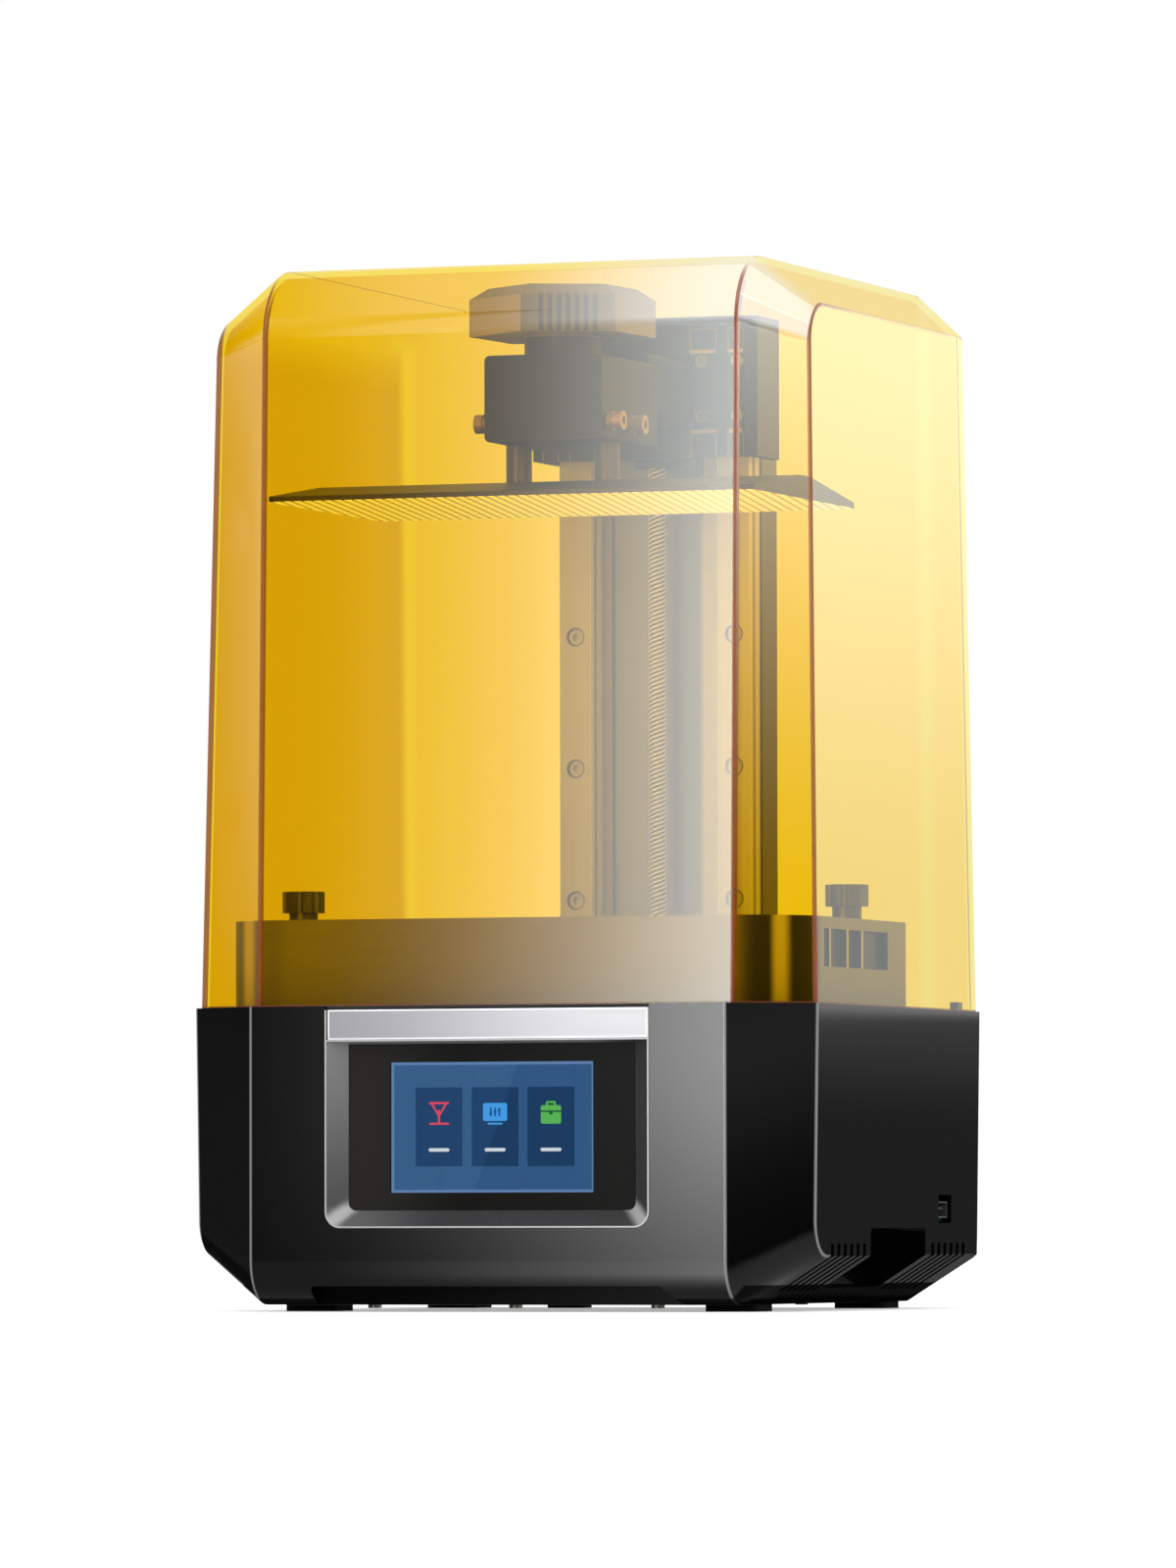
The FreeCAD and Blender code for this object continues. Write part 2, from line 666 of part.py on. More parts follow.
def make_plate_bracket():
    block = rounded_box(
        -BRACKET_HALF, BRACKET_HALF, BRACKET_FRONT, BRACKET_BACK, BRACKET_LOW, BRACKET_TOP, 2.5, "Y"
    )
    cuts = [box(-17.4, 17.4, -53, 20, 398.6, 411.4)]
    cuts.append(upright(5 + RUN_GAP, 0, PLATE_Y, 405, 430))
    for y in levelling_screw_places():
        cuts += both_sides(rod(2.6, vec(18, y, 392.5), vec(40, y, 392.5)))
    return block.cut(cuts)


def levelling_screw_places():
    return (-53.0, -24.8)


def make_levelling_screws():
    """Screws with a collar against the bracket, a narrower waist and a socket head."""
    waist = rod(6, vec(2.2, 0, 0), vec(3.4, 0, 0)).cut(rod(3.5, vec(2, 0, 0), vec(4, 0, 0)))
    screws = []
    for y in levelling_screw_places():
        screw = cap_screw(4.25, 7.2, 2.5, 8).cut(waist)
        screw.translate(vec(BRACKET_HALF, y, 392.5))
        screws += both_sides(screw)
    return group(screws)


def make_plate_posts():
    return group(both_sides(upright(5.75, POST_X, PLATE_Y, PLATE_BOTTOM + PLATE_RIDGE, BRACKET_LOW)))


def hexagon(radius, z):
    points = []
    for i in range(6):
        turn = math.radians(KNOB_TURN - 60 + 60 * i)
        points.append(vec(radius * math.cos(turn), PLATE_Y + radius * math.sin(turn), z))
    return points


def make_clamp_knob():
    head = prism(hexagon(KNOB_R, KNOB_LOW), vec(0, 0, KNOB_SIDE_TOP - KNOB_LOW))
    lower = Part.makePolygon(hexagon(KNOB_R, KNOB_SIDE_TOP) + hexagon(KNOB_R, KNOB_SIDE_TOP)[:1])
    upper = Part.makePolygon(hexagon(33, KNOB_TOP) + hexagon(33, KNOB_TOP)[:1])
    crown = Part.makeLoft([lower, upper], True, True)
    neck = upright(17, 0, PLATE_Y, BRACKET_TOP + 0.2, KNOB_LOW)
    stem = upright(5, 0, PLATE_Y, 411.7, BRACKET_TOP + 0.2)
    knob = joined([head, crown, neck, stem])
    flat = KNOB_R * math.cos(math.radians(30))
    grooves = []
    for side in range(3):
        for i in range(7):
            x = -12 + 4 * i
            groove = box(x - 1, x + 1, PLATE_Y - flat - 2, PLATE_Y - flat + 1.6, 400, 460)
            groove.rotate(vec(0, PLATE_Y, 0), vec(0, 0, 1), KNOB_TURN + 120 * side)
            grooves.append(groove)
    return knob.cut(grooves)


def make_build_plate():
    front = PLATE_Y - PLATE_HALF_Y
    back = PLATE_Y + PLATE_HALF_Y
    section = [
        vec(-PLATE_HALF_X, front, PLATE_BOTTOM),
        vec(-PLATE_HALF_X, back, PLATE_BOTTOM),
        vec(-PLATE_HALF_X, back, PLATE_BOTTOM + PLATE_EDGE),
        vec(-PLATE_HALF_X, PLATE_Y + RIDGE_HALF, PLATE_BOTTOM + PLATE_RIDGE),
        vec(-PLATE_HALF_X, PLATE_Y - RIDGE_HALF, PLATE_BOTTOM + PLATE_RIDGE),
        vec(-PLATE_HALF_X, front, PLATE_BOTTOM + PLATE_EDGE),
    ]
    plate = prism(section, vec(2 * PLATE_HALF_X, 0, 0))
    corners = rounded_box(-PLATE_HALF_X, PLATE_HALF_X, front, back, 350, 380, 3, "Z")
    return plate.common(corners)


def make_vat_body():
    corners = [
        (-VAT_HALF_X, VAT_FRONT, VAT_ROUND_FRONT),
        (VAT_HALF_X, VAT_FRONT, VAT_ROUND_FRONT),
        (VAT_HALF_X, VAT_BACK, VAT_ROUND_BACK),
        (-VAT_HALF_X, VAT_BACK, VAT_ROUND_BACK),
    ]
    footprint = Part.Face(outline(corners, lambda x, y: vec(x, y, SEAM_Z)))
    body = footprint.extrude(vec(0, 0, VAT_TOP - SEAM_Z))
    cuts = [rounded_box(-POCKET_HALF_X, POCKET_HALF_X, POCKET_FRONT, POCKET_BACK, 120, 180, 9, "Z")]
    cuts.append(rounded_box(-125, 125, -112.2, 38.7, 130, REBATE_TOP, 24, "Z"))
    cuts += both_sides(upright(THREAD_R + RUN_GAP, THUMB_X, THUMB_Y, 130, 180))
    for low, high in ((-78.0, -71.0), (-69.0, -47.5), (-45.0, -27.5), (-25.0, 9.0)):
        cuts += both_sides(box(132.9, 140, low, high, 150, 166.6))
    for x, y in film_screw_spots():
        cuts.append(upright(1.05, x, y, 130, 145))
    return body.cut(cuts)


def film_screw_spots():
    spots = []
    for i in range(5):
        for x in (-122.6, 122.6):
            spots.append((x, PLATE_Y - 48 + 24 * i))
    for i in range(5):
        for y in (-110.6, 37.3):
            spots.append((-80 + 40 * i, y))
    return spots


def film_holes(low, high):
    return [upright(1.05, x, y, low, high) for x, y in film_screw_spots()]


def make_vat_film():
    film = rounded_box(-124.6, 124.6, -111.9, 38.4, REBATE_TOP - FILM_THICK, REBATE_TOP, 23.6, "Z")
    return film.cut(film_holes(130, 140))


def make_film_frame():
    low = SEAM_Z + 0.2
    high = REBATE_TOP - FILM_THICK
    ring = rounded_box(-124.6, 124.6, -111.9, 38.4, low, high, 23.6, "Z")
    ring = ring.cut(rounded_box(-117, 117, -106.6, 33.0, 130, 140, 3, "Z"))
    return ring.cut(film_holes(130, 140))


def make_film_screws():
    return group([upright(1.0, x, y, SEAM_Z + 0.3, 143) for x, y in film_screw_spots()])


def make_thumb_screw(x):
    head = upright(9.5, x, THUMB_Y, 177.5, 187)
    scallops = []
    for i in range(8):
        turn = math.radians(45 * i + 10)
        scallop_x = x + 10.2 * math.cos(turn)
        scallop_y = THUMB_Y + 10.2 * math.sin(turn)
        scallops.append(upright(1.9, scallop_x, scallop_y, 170, 190))
    stem = upright(6.5, x, THUMB_Y, VAT_TOP + 0.2, 177.5)
    thread = upright(THREAD_R, x, THUMB_Y, 131, VAT_TOP + 0.2)
    return joined([head.cut(scallops), stem, thread])


def cover_side(z):
    """Half width of the cover at the height z."""
    return COVER_SIDE - COVER_SIDE_LEAN * (z - SEAM_Z)


def cover_body(inset):
    """The cover's outside shape, shrunk by inset, from the seam up."""
    top = HEIGHT - inset
    end_top = COVER_END_TOP - 0.5 * inset

    def corner(front_edge, z, radius):
        return (front_edge + COVER_FRONT_LEAN * (z - SEAM_Z), z, radius)

    def back_corner(back_edge, z):
        return (back_edge - COVER_BACK_LEAN * (z - SEAM_Z), z, 0)

    main = [
        corner(COVER_FRONT + inset, SEAM_Z, 0),
        corner(COVER_FRONT + inset, top, COVER_ROUND_MAIN - inset),
        back_corner(COVER_BACK - inset, top),
        back_corner(COVER_BACK - inset, SEAM_Z),
    ]
    end_inset = 0.64 * inset
    end = [
        corner(COVER_END_FRONT + end_inset, SEAM_Z, 0),
        corner(COVER_END_FRONT + end_inset, end_top, COVER_ROUND_END - 0.5 * inset),
        back_corner(COVER_END_BACK - end_inset, end_top),
        back_corner(COVER_END_BACK - end_inset, SEAM_Z),
    ]
    return bevelled_body(main, end, FACE_HALF - 0.25 * inset, lambda z: cover_side(z) - inset)


def make_cover():
    outside = cover_body(0)
    creases = crease_edges(outside, FACE_HALF, cover_side, lambda p: True)
    above_seam = []
    for edge in creases:
        if max(vertex.Z for vertex in edge.Vertexes) > SEAM_Z + 1:
            above_seam.append(edge)
    return outside.makeFillet(COVER_EDGE_ROUND, above_seam).cut(cover_body(COVER_WALL))


NODES = {
    "base_shell": make_base_shell(),
    "bottom_plate": make_bottom_plate(),
    "feet": make_feet(),
    "base_screws": make_base_screws(),
    "deck_plate": make_deck_plate(),
    "cover_locators": make_cover_locators(),
    "rear_panel": make_rear_panel(),
    "front_bezel": make_front_bezel(),
    "trim_strip": make_trim_strip(),
    "touch_glass": make_touch_glass(),
    "display": make_display(),
    "display_board": make_display_board(),
    "lcd_panel": make_lcd_panel(),
    "screen_glass": make_screen_glass(),
    "light_box": make_light_box(),
    "light_lens": make_light_lens(),
    "led_board": make_led_board(),
    "heat_sink": make_heat_sink(),
    "fan_frame": make_fan_frame(),
    "fan_rotor": make_fan_rotor(),
    "fan_screws": make_fan_screws(),
    "mainboard": make_mainboard(),
    "board_standoffs": make_board_standoffs(),
    "usb_board": make_usb_board(),
    "usb_socket": make_usb_socket(),
    "dc_inlet": make_dc_inlet(),
    "inlet_pin": make_inlet_pin(),
    "switch_body": make_switch_body(),
    "switch_rocker": make_switch_rocker(),
    "z_motor": make_z_motor(),
    "motor_shaft": make_motor_shaft(),
    "motor_bracket": make_motor_bracket(),
    "shaft_coupling": make_shaft_coupling(),
    "lead_screw": make_lead_screw(),
    "column": make_column(),
    "guide_rails": make_guide_rails(),
    "rail_screws": make_rail_screws(),
    "rail_sliders": make_rail_sliders(),
    "carriage": make_carriage(),
    "carriage_screws": make_carriage_screws(),
    "drive_nut": make_drive_nut(),
    "limit_switch": make_limit_switch(),
    "limit_flag": make_limit_flag(),
    "plate_arm": make_plate_arm(),
    "plate_bracket": make_plate_bracket(),
    "levelling_screws": make_levelling_screws(),
    "plate_posts": make_plate_posts(),
    "clamp_knob": make_clamp_knob(),
    "build_plate": make_build_plate(),
    "vat_body": make_vat_body(),
    "vat_film": make_vat_film(),
    "film_frame": make_film_frame(),
    "film_screws": make_film_screws(),
    "thumb_screw_left": make_thumb_screw(-THUMB_X),
    "thumb_screw_right": make_thumb_screw(THUMB_X),
    "cover": make_cover(),
}

for node, shape in NODES.items():
    shape.exportStep("parts/" + node + ".step")
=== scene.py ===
import bpy
import bmesh
import math
import numpy as np
from mathutils import Matrix, Vector


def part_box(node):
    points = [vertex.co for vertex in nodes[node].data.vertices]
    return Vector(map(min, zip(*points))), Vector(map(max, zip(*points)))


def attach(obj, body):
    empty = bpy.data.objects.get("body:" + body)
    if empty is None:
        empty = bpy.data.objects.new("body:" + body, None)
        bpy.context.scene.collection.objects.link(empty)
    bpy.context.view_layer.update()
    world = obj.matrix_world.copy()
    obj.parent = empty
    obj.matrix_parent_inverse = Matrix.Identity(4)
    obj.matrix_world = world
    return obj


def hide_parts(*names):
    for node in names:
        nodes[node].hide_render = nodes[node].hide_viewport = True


# Looks of a desktop resin printer with an amber cover. Metres, +Z up, front towards -Y.

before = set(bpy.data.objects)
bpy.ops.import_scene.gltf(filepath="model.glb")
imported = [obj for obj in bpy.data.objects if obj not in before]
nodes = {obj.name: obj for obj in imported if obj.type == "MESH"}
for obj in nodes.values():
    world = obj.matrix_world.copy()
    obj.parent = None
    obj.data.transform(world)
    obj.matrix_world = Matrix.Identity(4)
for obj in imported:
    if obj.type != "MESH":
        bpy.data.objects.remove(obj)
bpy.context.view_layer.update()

MM = 0.001

# Creases of the base and the cover
CREASE_X = 110 * MM
SEAM_Z = 133.4 * MM
BASE_END_FRONT = -112.3 * MM
BASE_END_LOW = 24 * MM
BASE_END_ROUND = 16 * MM
COVER_END_FRONT = -109.5 * MM
COVER_END_TOP = 438 * MM
COVER_END_ROUND = 18 * MM
COVER_FRONT_LEAN = 6.7 / 286.6
COVER_SIDE = 143.5 * MM
COVER_SIDE_LEAN = 4.5 / 286.6
COVER_END_BACK = 111.8 * MM
COVER_BACK_LEAN = 2.0 / 326.6

# Clamp knob: turn of its first gripped side in degrees, axis, and heights of its neck and grip
KNOB_TURN = 24.0
PLATE_Y = -36.5 * MM
KNOB_NECK_TOP = 430.5 * MM
KNOB_GRIP_LOW = 431.4 * MM
KNOB_GRIP_TOP = 447.6 * MM

# Guide rails
RAIL_X = 38.2 * MM
RAIL_SCREW_LOW = 185 * MM
RAIL_SCREW_STEP = 60 * MM

# Row of hollows in each end of the vat, and the ribs between them: middle and half width along Y
VAT_ROW_Z = 158.3 * MM
VAT_ROW_Y = -34.5 * MM
VAT_RIBS = ((-70 * MM, 1 * MM), (-46.2 * MM, 1.3 * MM), (-26.2 * MM, 1.3 * MM))

# Windows in the carriage: middle and half width along X; foot, head and pale strip along Z
CARRIAGE_WINDOWS_X = ((29 * MM, 6 * MM), (44.5 * MM, 3.5 * MM))
CARRIAGE_WINDOWS_Z = (
    (370 * MM, 395 * MM, 396.0 * MM),
    (432.8 * MM, 442.2 * MM, 432.2 * MM),
)

# Level of the light that comes from all round
AMBIENT = 1.0

# Fronts of the base and the cover as the lights see them, and where the cover's top is rounded
BASE_FRONT_Y = -133 * MM
COVER_FRONT_Y = -125 * MM
COVER_ROUND_Z = 450 * MM

# Key light: its place, its distance from the front, and how a point of it maps to the place on
# the front that mirrors it; then where along the front it begins and over what width it grows
KEY_Y = -1.62
KEY_AWAY = COVER_FRONT_Y - KEY_Y
KEY_SHIFT = 0.5622
KEY_SPREAD = 0.3424
KEY_START = 0.1178
KEY_WIDTH = 0.262

# Heights of the level light sheets
CEILING_Z = 1.7
FLOOR_Z = 0.001

# Lead screw; crest and flank are shares of half a pitch
THREAD_PITCH = 2 * MM
THREAD_STARTS = 4
THREAD_DEPTH = 0.75 * MM
THREAD_CREST = 0.3
THREAD_FLANK = 0.4
POINTS_A_TURN = 40
ROWS_A_PITCH = 8


def linear(level):
    """Screen level, 0 to 255, as the linear level that a shader takes."""
    share = level / 255
    return ((share + 0.055) / 1.055) ** 2.4 if share > 0.04045 else share / 12.92


def shade(red, green, blue):
    """Screen colour, 0 to 255, as the linear colour that a shader takes."""
    return (linear(red), linear(green), linear(blue), 1.0)


class Value:
    """A shader socket used like a number: each operator adds one Math node."""

    def __init__(self, finish, socket):
        self.finish = finish
        self.socket = socket

    def calc(self, operation, first, second=0.0):
        return self.finish.node("ShaderNodeMath", {"operation": operation}, {0: first, 1: second})

    def __add__(self, other):
        return self.calc("ADD", self, other)

    def __sub__(self, other):
        return self.calc("SUBTRACT", self, other)

    def __rsub__(self, other):
        return self.calc("SUBTRACT", other, self)

    def __mul__(self, other):
        return self.calc("MULTIPLY", self, other)

    def __truediv__(self, other):
        return self.calc("DIVIDE", self, other)

    def __rtruediv__(self, other):
        return self.calc("DIVIDE", other, self)

    def __pow__(self, other):
        return self.calc("POWER", self, other)

    def __rpow__(self, other):
        return self.calc("POWER", other, self)

    def __abs__(self):
        return self.calc("ABSOLUTE", self)

    def at_least(self, other):
        return self.calc("MAXIMUM", self, other)

    def at_most(self, other):
        return self.calc("MINIMUM", self, other)

    def wave(self, period):
        """Sine of the value, one full wave for each period."""
        return self.calc("SINE", self * (2 * math.pi / period))

    __radd__ = __add__
    __rmul__ = __mul__


class Tree:
    """A node tree under construction, with the few patterns that several finishes share."""

    def __init__(self, tree):
        self.tree = tree

    def node(self, kind, settings=None, sockets=None, out=0):
        """One node of any kind: its settings first, then values or links on its sockets."""
        made = self.tree.nodes.new(kind)
        for key, value in (settings or {}).items():
            setattr(made, key, value)
        for key, value in (sockets or {}).items():
            if isinstance(value, Value):
                self.tree.links.new(value.socket, made.inputs[key])
            else:
                made.inputs[key].default_value = value
        return Value(self, made.outputs[out])

    def smooth(self, value, low, high):
        """0 below low, 1 above high and an S-curve between."""
        return self.node(
            "ShaderNodeMapRange",
            {"interpolation_type": "SMOOTHSTEP"},
            {"Value": value, "From Min": low, "From Max": high},
        )

    def band(self, value, centre, half, soft):
        """1 within half of centre, fading to 0 over soft on each side."""
        return 1 - self.smooth(abs(value - centre), half - soft / 2, half + soft / 2)

    def mix(self, factor, first, second):
        """Blend of two colours."""
        return self.node(
            "ShaderNodeMix", {"data_type": "RGBA"}, {0: factor, 6: first, 7: second}, out=2
        )

    def either(self, factor, first, second):
        """Blend of two shaders."""
        return self.node("ShaderNodeMixShader", sockets={0: factor, 1: first, 2: second})


class Finish(Tree):
    """A procedural material: constants sit on the shader's sockets, paint() links what varies."""

    def __init__(self, name, **constants):
        self.material = bpy.data.materials.new(name)
        self.material.use_nodes = True
        super().__init__(self.material.node_tree)
        self.shader = self.tree.nodes["Principled BSDF"]
        for socket, value in constants.items():
            self.shader.inputs[socket.replace("_", " ")].default_value = value
        self.place = self.node("ShaderNodeTexCoord", out="Object")
        parts = self.node("ShaderNodeSeparateXYZ", sockets={0: self.place}).socket.node.outputs
        self.x, self.y, self.z = (Value(self, socket) for socket in parts)

    def paint(self, socket, value):
        self.tree.links.new(value.socket, self.shader.inputs[socket])
        return self

    def plain(self):
        """The plain shader, to be blended with others."""
        return Value(self, self.shader.outputs[0])

    def show(self, shader):
        """Puts another shader than the plain one on the surface."""
        output = self.tree.nodes["Material Output"]
        self.tree.links.new(shader.socket, output.inputs["Surface"])

    def noise(self, scale, detail=2.0, stretch=(1, 1, 1)):
        """Cloudy pattern, scale lumps a metre, drawn out along the axes whose stretch is small."""
        where = self.node("ShaderNodeMapping", sockets={"Vector": self.place, "Scale": stretch})
        return self.node(
            "ShaderNodeTexNoise", sockets={"Vector": where, "Scale": scale, "Detail": detail}
        )

    def raise_by(self, height, distance):
        """Bump: the surface looks raised by height times distance, in metres."""
        lifted = self.node("ShaderNodeBump", sockets={"Height": height, "Distance": distance})
        return self.paint("Normal", lifted)

    def grain(self, low, high, scale, depth, rough, stretch=(1, 1, 1)):
        """Two near colours clouded together, with matching roughness and a fine bump."""
        cloud = self.noise(scale, 3.0, stretch)
        self.paint("Base Color", self.mix(cloud, low, high))
        self.paint("Roughness", rough[0] + (rough[1] - rough[0]) * cloud)
        self.raise_by(cloud, depth)
        return self

    def rounded(self, across, up, centre, half, radius):
        """Distance, negative inside, from a rounded rectangle in two coordinates."""
        over_x = abs(across - centre[0]) - (half[0] - radius)
        over_z = abs(up - centre[1]) - (half[1] - radius)
        out_x = over_x.at_least(0)
        out_z = over_z.at_least(0)
        corner = (out_x * out_x + out_z * out_z) ** 0.5
        return corner + over_x.at_least(over_z).at_most(0) - radius

    def plate(self, centre, half, radius):
        """1 inside a rounded rectangle that stands in X and Z, 0 outside, with a fine soft edge."""
        edge = self.rounded(self.x, self.z, centre, half, radius)
        return 1 - self.smooth(edge, -0.1 * MM, 0.1 * MM)


def dress(finish, *names):
    """Puts one finish on the named nodes."""
    for name in names:
        for slot in nodes[name].material_slots:
            slot.material = finish.material


def new_piece(name, body, finish, points):
    """Mesh piece from a grid of points whose last column is joined to the first."""
    rows, columns = points.shape[:2]
    here = np.arange(rows * columns).reshape(rows, columns)
    after = np.roll(here, -1, axis=1)
    quads = np.stack([here[:-1], after[:-1], after[1:], here[1:]], axis=-1).reshape(-1, 4)
    mesh = bpy.data.meshes.new(name)
    mesh.from_pydata(points.reshape(-1, 3).tolist(), [], quads.tolist())
    work = bmesh.new()
    work.from_mesh(mesh)
    bmesh.ops.remove_doubles(work, verts=work.verts, dist=1e-6)
    bmesh.ops.recalc_face_normals(work, faces=work.faces)
    work.to_mesh(mesh)
    work.free()
    mesh.materials.append(finish.material)
    piece = bpy.data.objects.new(name, mesh)
    bpy.context.scene.collection.objects.link(piece)
    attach(piece, body)
    return piece


# Materials of the base


def base_moulding():
    """Black glossy moulding with painted highlights as pale lines along its front creases, and a
    matt underside: the low surfaces behind the front are made matt near-black as painted shade.
    """
    f = Finish("base_moulding", Specular_IOR_Level=0.5)
    grain = f.noise(1400, 2.0)
    cloud = f.noise(12, 3.0)
    # Painted highlights: pale lines along the front creases stand in for light caught by their
    # rounded edges.
    front = 1 - f.smooth(f.y, -95 * MM, -90 * MM)
    main_line = f.band(abs(f.x), CREASE_X, 0.55 * MM, 0.5 * MM) * front
    along = (BASE_END_FRONT + BASE_END_ROUND - f.y).at_least(0)
    down = (BASE_END_LOW + BASE_END_ROUND - f.z).at_least(0)
    corner = (along * along + down * down) ** 0.5
    end_line = f.band(corner, BASE_END_ROUND, 0.55 * MM, 0.5 * MM) * front
    end_line = end_line * f.smooth(abs(f.x), 142 * MM, 142.6 * MM)
    line = main_line.at_least(end_line)
    black = f.mix(cloud * 0.6 + grain * 0.4, shade(3, 3, 3), shade(7, 7, 8))
    f.paint("Base Color", f.mix(line * 0.8, black, shade(150, 150, 152)))
    f.paint("Roughness", 0.09 + 0.03 * grain + 0.02 * cloud)
    f.raise_by(grain, 0.000004)
    # Painted shade: low surfaces behind the front, round the notch, lose their gloss and turn matt
    # near-black.
    foot = f.smooth(f.z, 11.7 * MM, 11.5 * MM) * f.smooth(f.y, -127 * MM, -125 * MM)
    matt = f.node("ShaderNodeBsdfDiffuse", sockets={"Color": shade(7, 7, 7)})
    f.show(f.either(0.9 * foot, f.plain(), matt))
    return f


def sheet_black():
    f = Finish("sheet_black", Specular_IOR_Level=0.35)
    return f.grain(shade(12, 12, 13), shade(22, 22, 23), 900, 0.00003, (0.45, 0.6))


def foot_rubber():
    f = Finish("foot_rubber", Specular_IOR_Level=0.2)
    return f.grain(shade(14, 14, 14), shade(24, 24, 24), 1500, 0.00004, (0.75, 0.9))


def bezel_paint_and_shade():
    """Satin silver with painted shade, darker to the right and towards the foot; painted highlights
    brighten the mitred lower corners, and the polished flat rim is painted bright as a highlight."""
    f = Finish("bezel_paint_and_shade", Metallic=0.1, Specular_IOR_Level=0.3)
    fleck = f.noise(2500, 2.0)
    # The flat rim is polished, and also painted bright as a painted highlight.
    rim = 1 - f.smooth(f.y, -134.97 * MM, -134.9 * MM)
    # Painted shade: the slopes darken towards the foot and to the right, and the lower slope is
    # darker at the right than at the left.
    fall = f.smooth(f.z, 40 * MM, 122 * MM)
    side = f.mix(fall, shade(62, 62, 63), shade(132, 132, 134))
    low_side = f.smooth(f.z, 47 * MM, 43.5 * MM)
    side = f.mix(f.smooth(f.x, 40 * MM, 72 * MM), side, shade(26, 26, 27))
    bottom = f.mix(f.smooth(f.x, -20 * MM, -70 * MM), shade(24, 24, 25), shade(96, 96, 98))
    paint = f.mix(low_side, side, bottom)
    # Painted highlights on the mitred lower corners.
    corner = f.band(abs(f.x) + f.z, 111.4 * MM, 4.2 * MM, 6 * MM)
    corner = corner * f.smooth(f.z, 52 * MM, 45 * MM)
    paint = f.mix(0.85 * corner, paint, shade(196, 196, 198))
    paint = f.mix(fleck * 0.25, paint, shade(150, 150, 152))
    f.paint("Base Color", f.mix(rim, paint, shade(190, 190, 192)))
    f.paint("Roughness", 0.34 + 0.08 * fleck - 0.1 * rim)
    return f.raise_by(fleck, 0.000008)


def trim_metal():
    """Silver strip brushed along its length, painted lighter to the right as painted light, with a
    painted highlight as a bright line round its edge.
    """
    f = Finish("trim_metal", Metallic=0.6)
    low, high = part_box("trim_strip")
    centre = ((low[0] + high[0]) / 2, (low[2] + high[2]) / 2)
    half = ((high[0] - low[0]) / 2, (high[2] - low[2]) / 2)
    # Painted highlight: a bright line round the edge.
    edge = f.smooth(f.rounded(f.x, f.z, centre, half, 0.4 * MM), -0.75 * MM, -0.45 * MM)
    brushed = f.noise(700, 4.0, (0.02, 1, 1))
    # Painted light: the strip grows lighter towards the right.
    across = f.smooth(f.x, -80 * MM, 60 * MM)
    shine = f.mix(across, shade(146, 146, 151), shade(190, 190, 194))
    shine = f.mix(0.3 * brushed, shine, shade(180, 180, 184))
    f.paint("Base Color", f.mix(edge, shine, shade(248, 248, 250)))
    f.paint("Roughness", 0.34 + 0.14 * brushed)
    return f.raise_by(brushed, 0.000012)


def touch_glass():
    """Glass over a black printed border, paler at the left from a painted reflection, with a clear
    window at the display.
    """
    f = Finish("touch_glass", Specular_IOR_Level=0.03)
    low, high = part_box("display")
    centre = ((low[0] + high[0]) / 2, (low[2] + high[2]) / 2)
    half = ((high[0] - low[0]) / 2 - 0.1 * MM, (high[2] - low[2]) / 2 - 0.1 * MM)
    window = f.plate(centre, half, 0.4 * MM)
    cloud = f.noise(30, 2.0)
    black = f.mix(cloud, shade(20, 20, 19), shade(26, 26, 25))
    # Painted reflection: the border grows paler towards the left.
    f.paint("Base Color", f.mix(f.smooth(f.x, -10 * MM, -65 * MM), black, shade(44, 43, 42)))
    f.paint("Roughness", 0.14 + 0.05 * cloud)
    clear = f.node("ShaderNodeBsdfTransparent", sockets={"Color": (0.96, 0.97, 0.98, 1)})
    f.show(f.either(window * 0.985, f.plain(), clear))
    return f


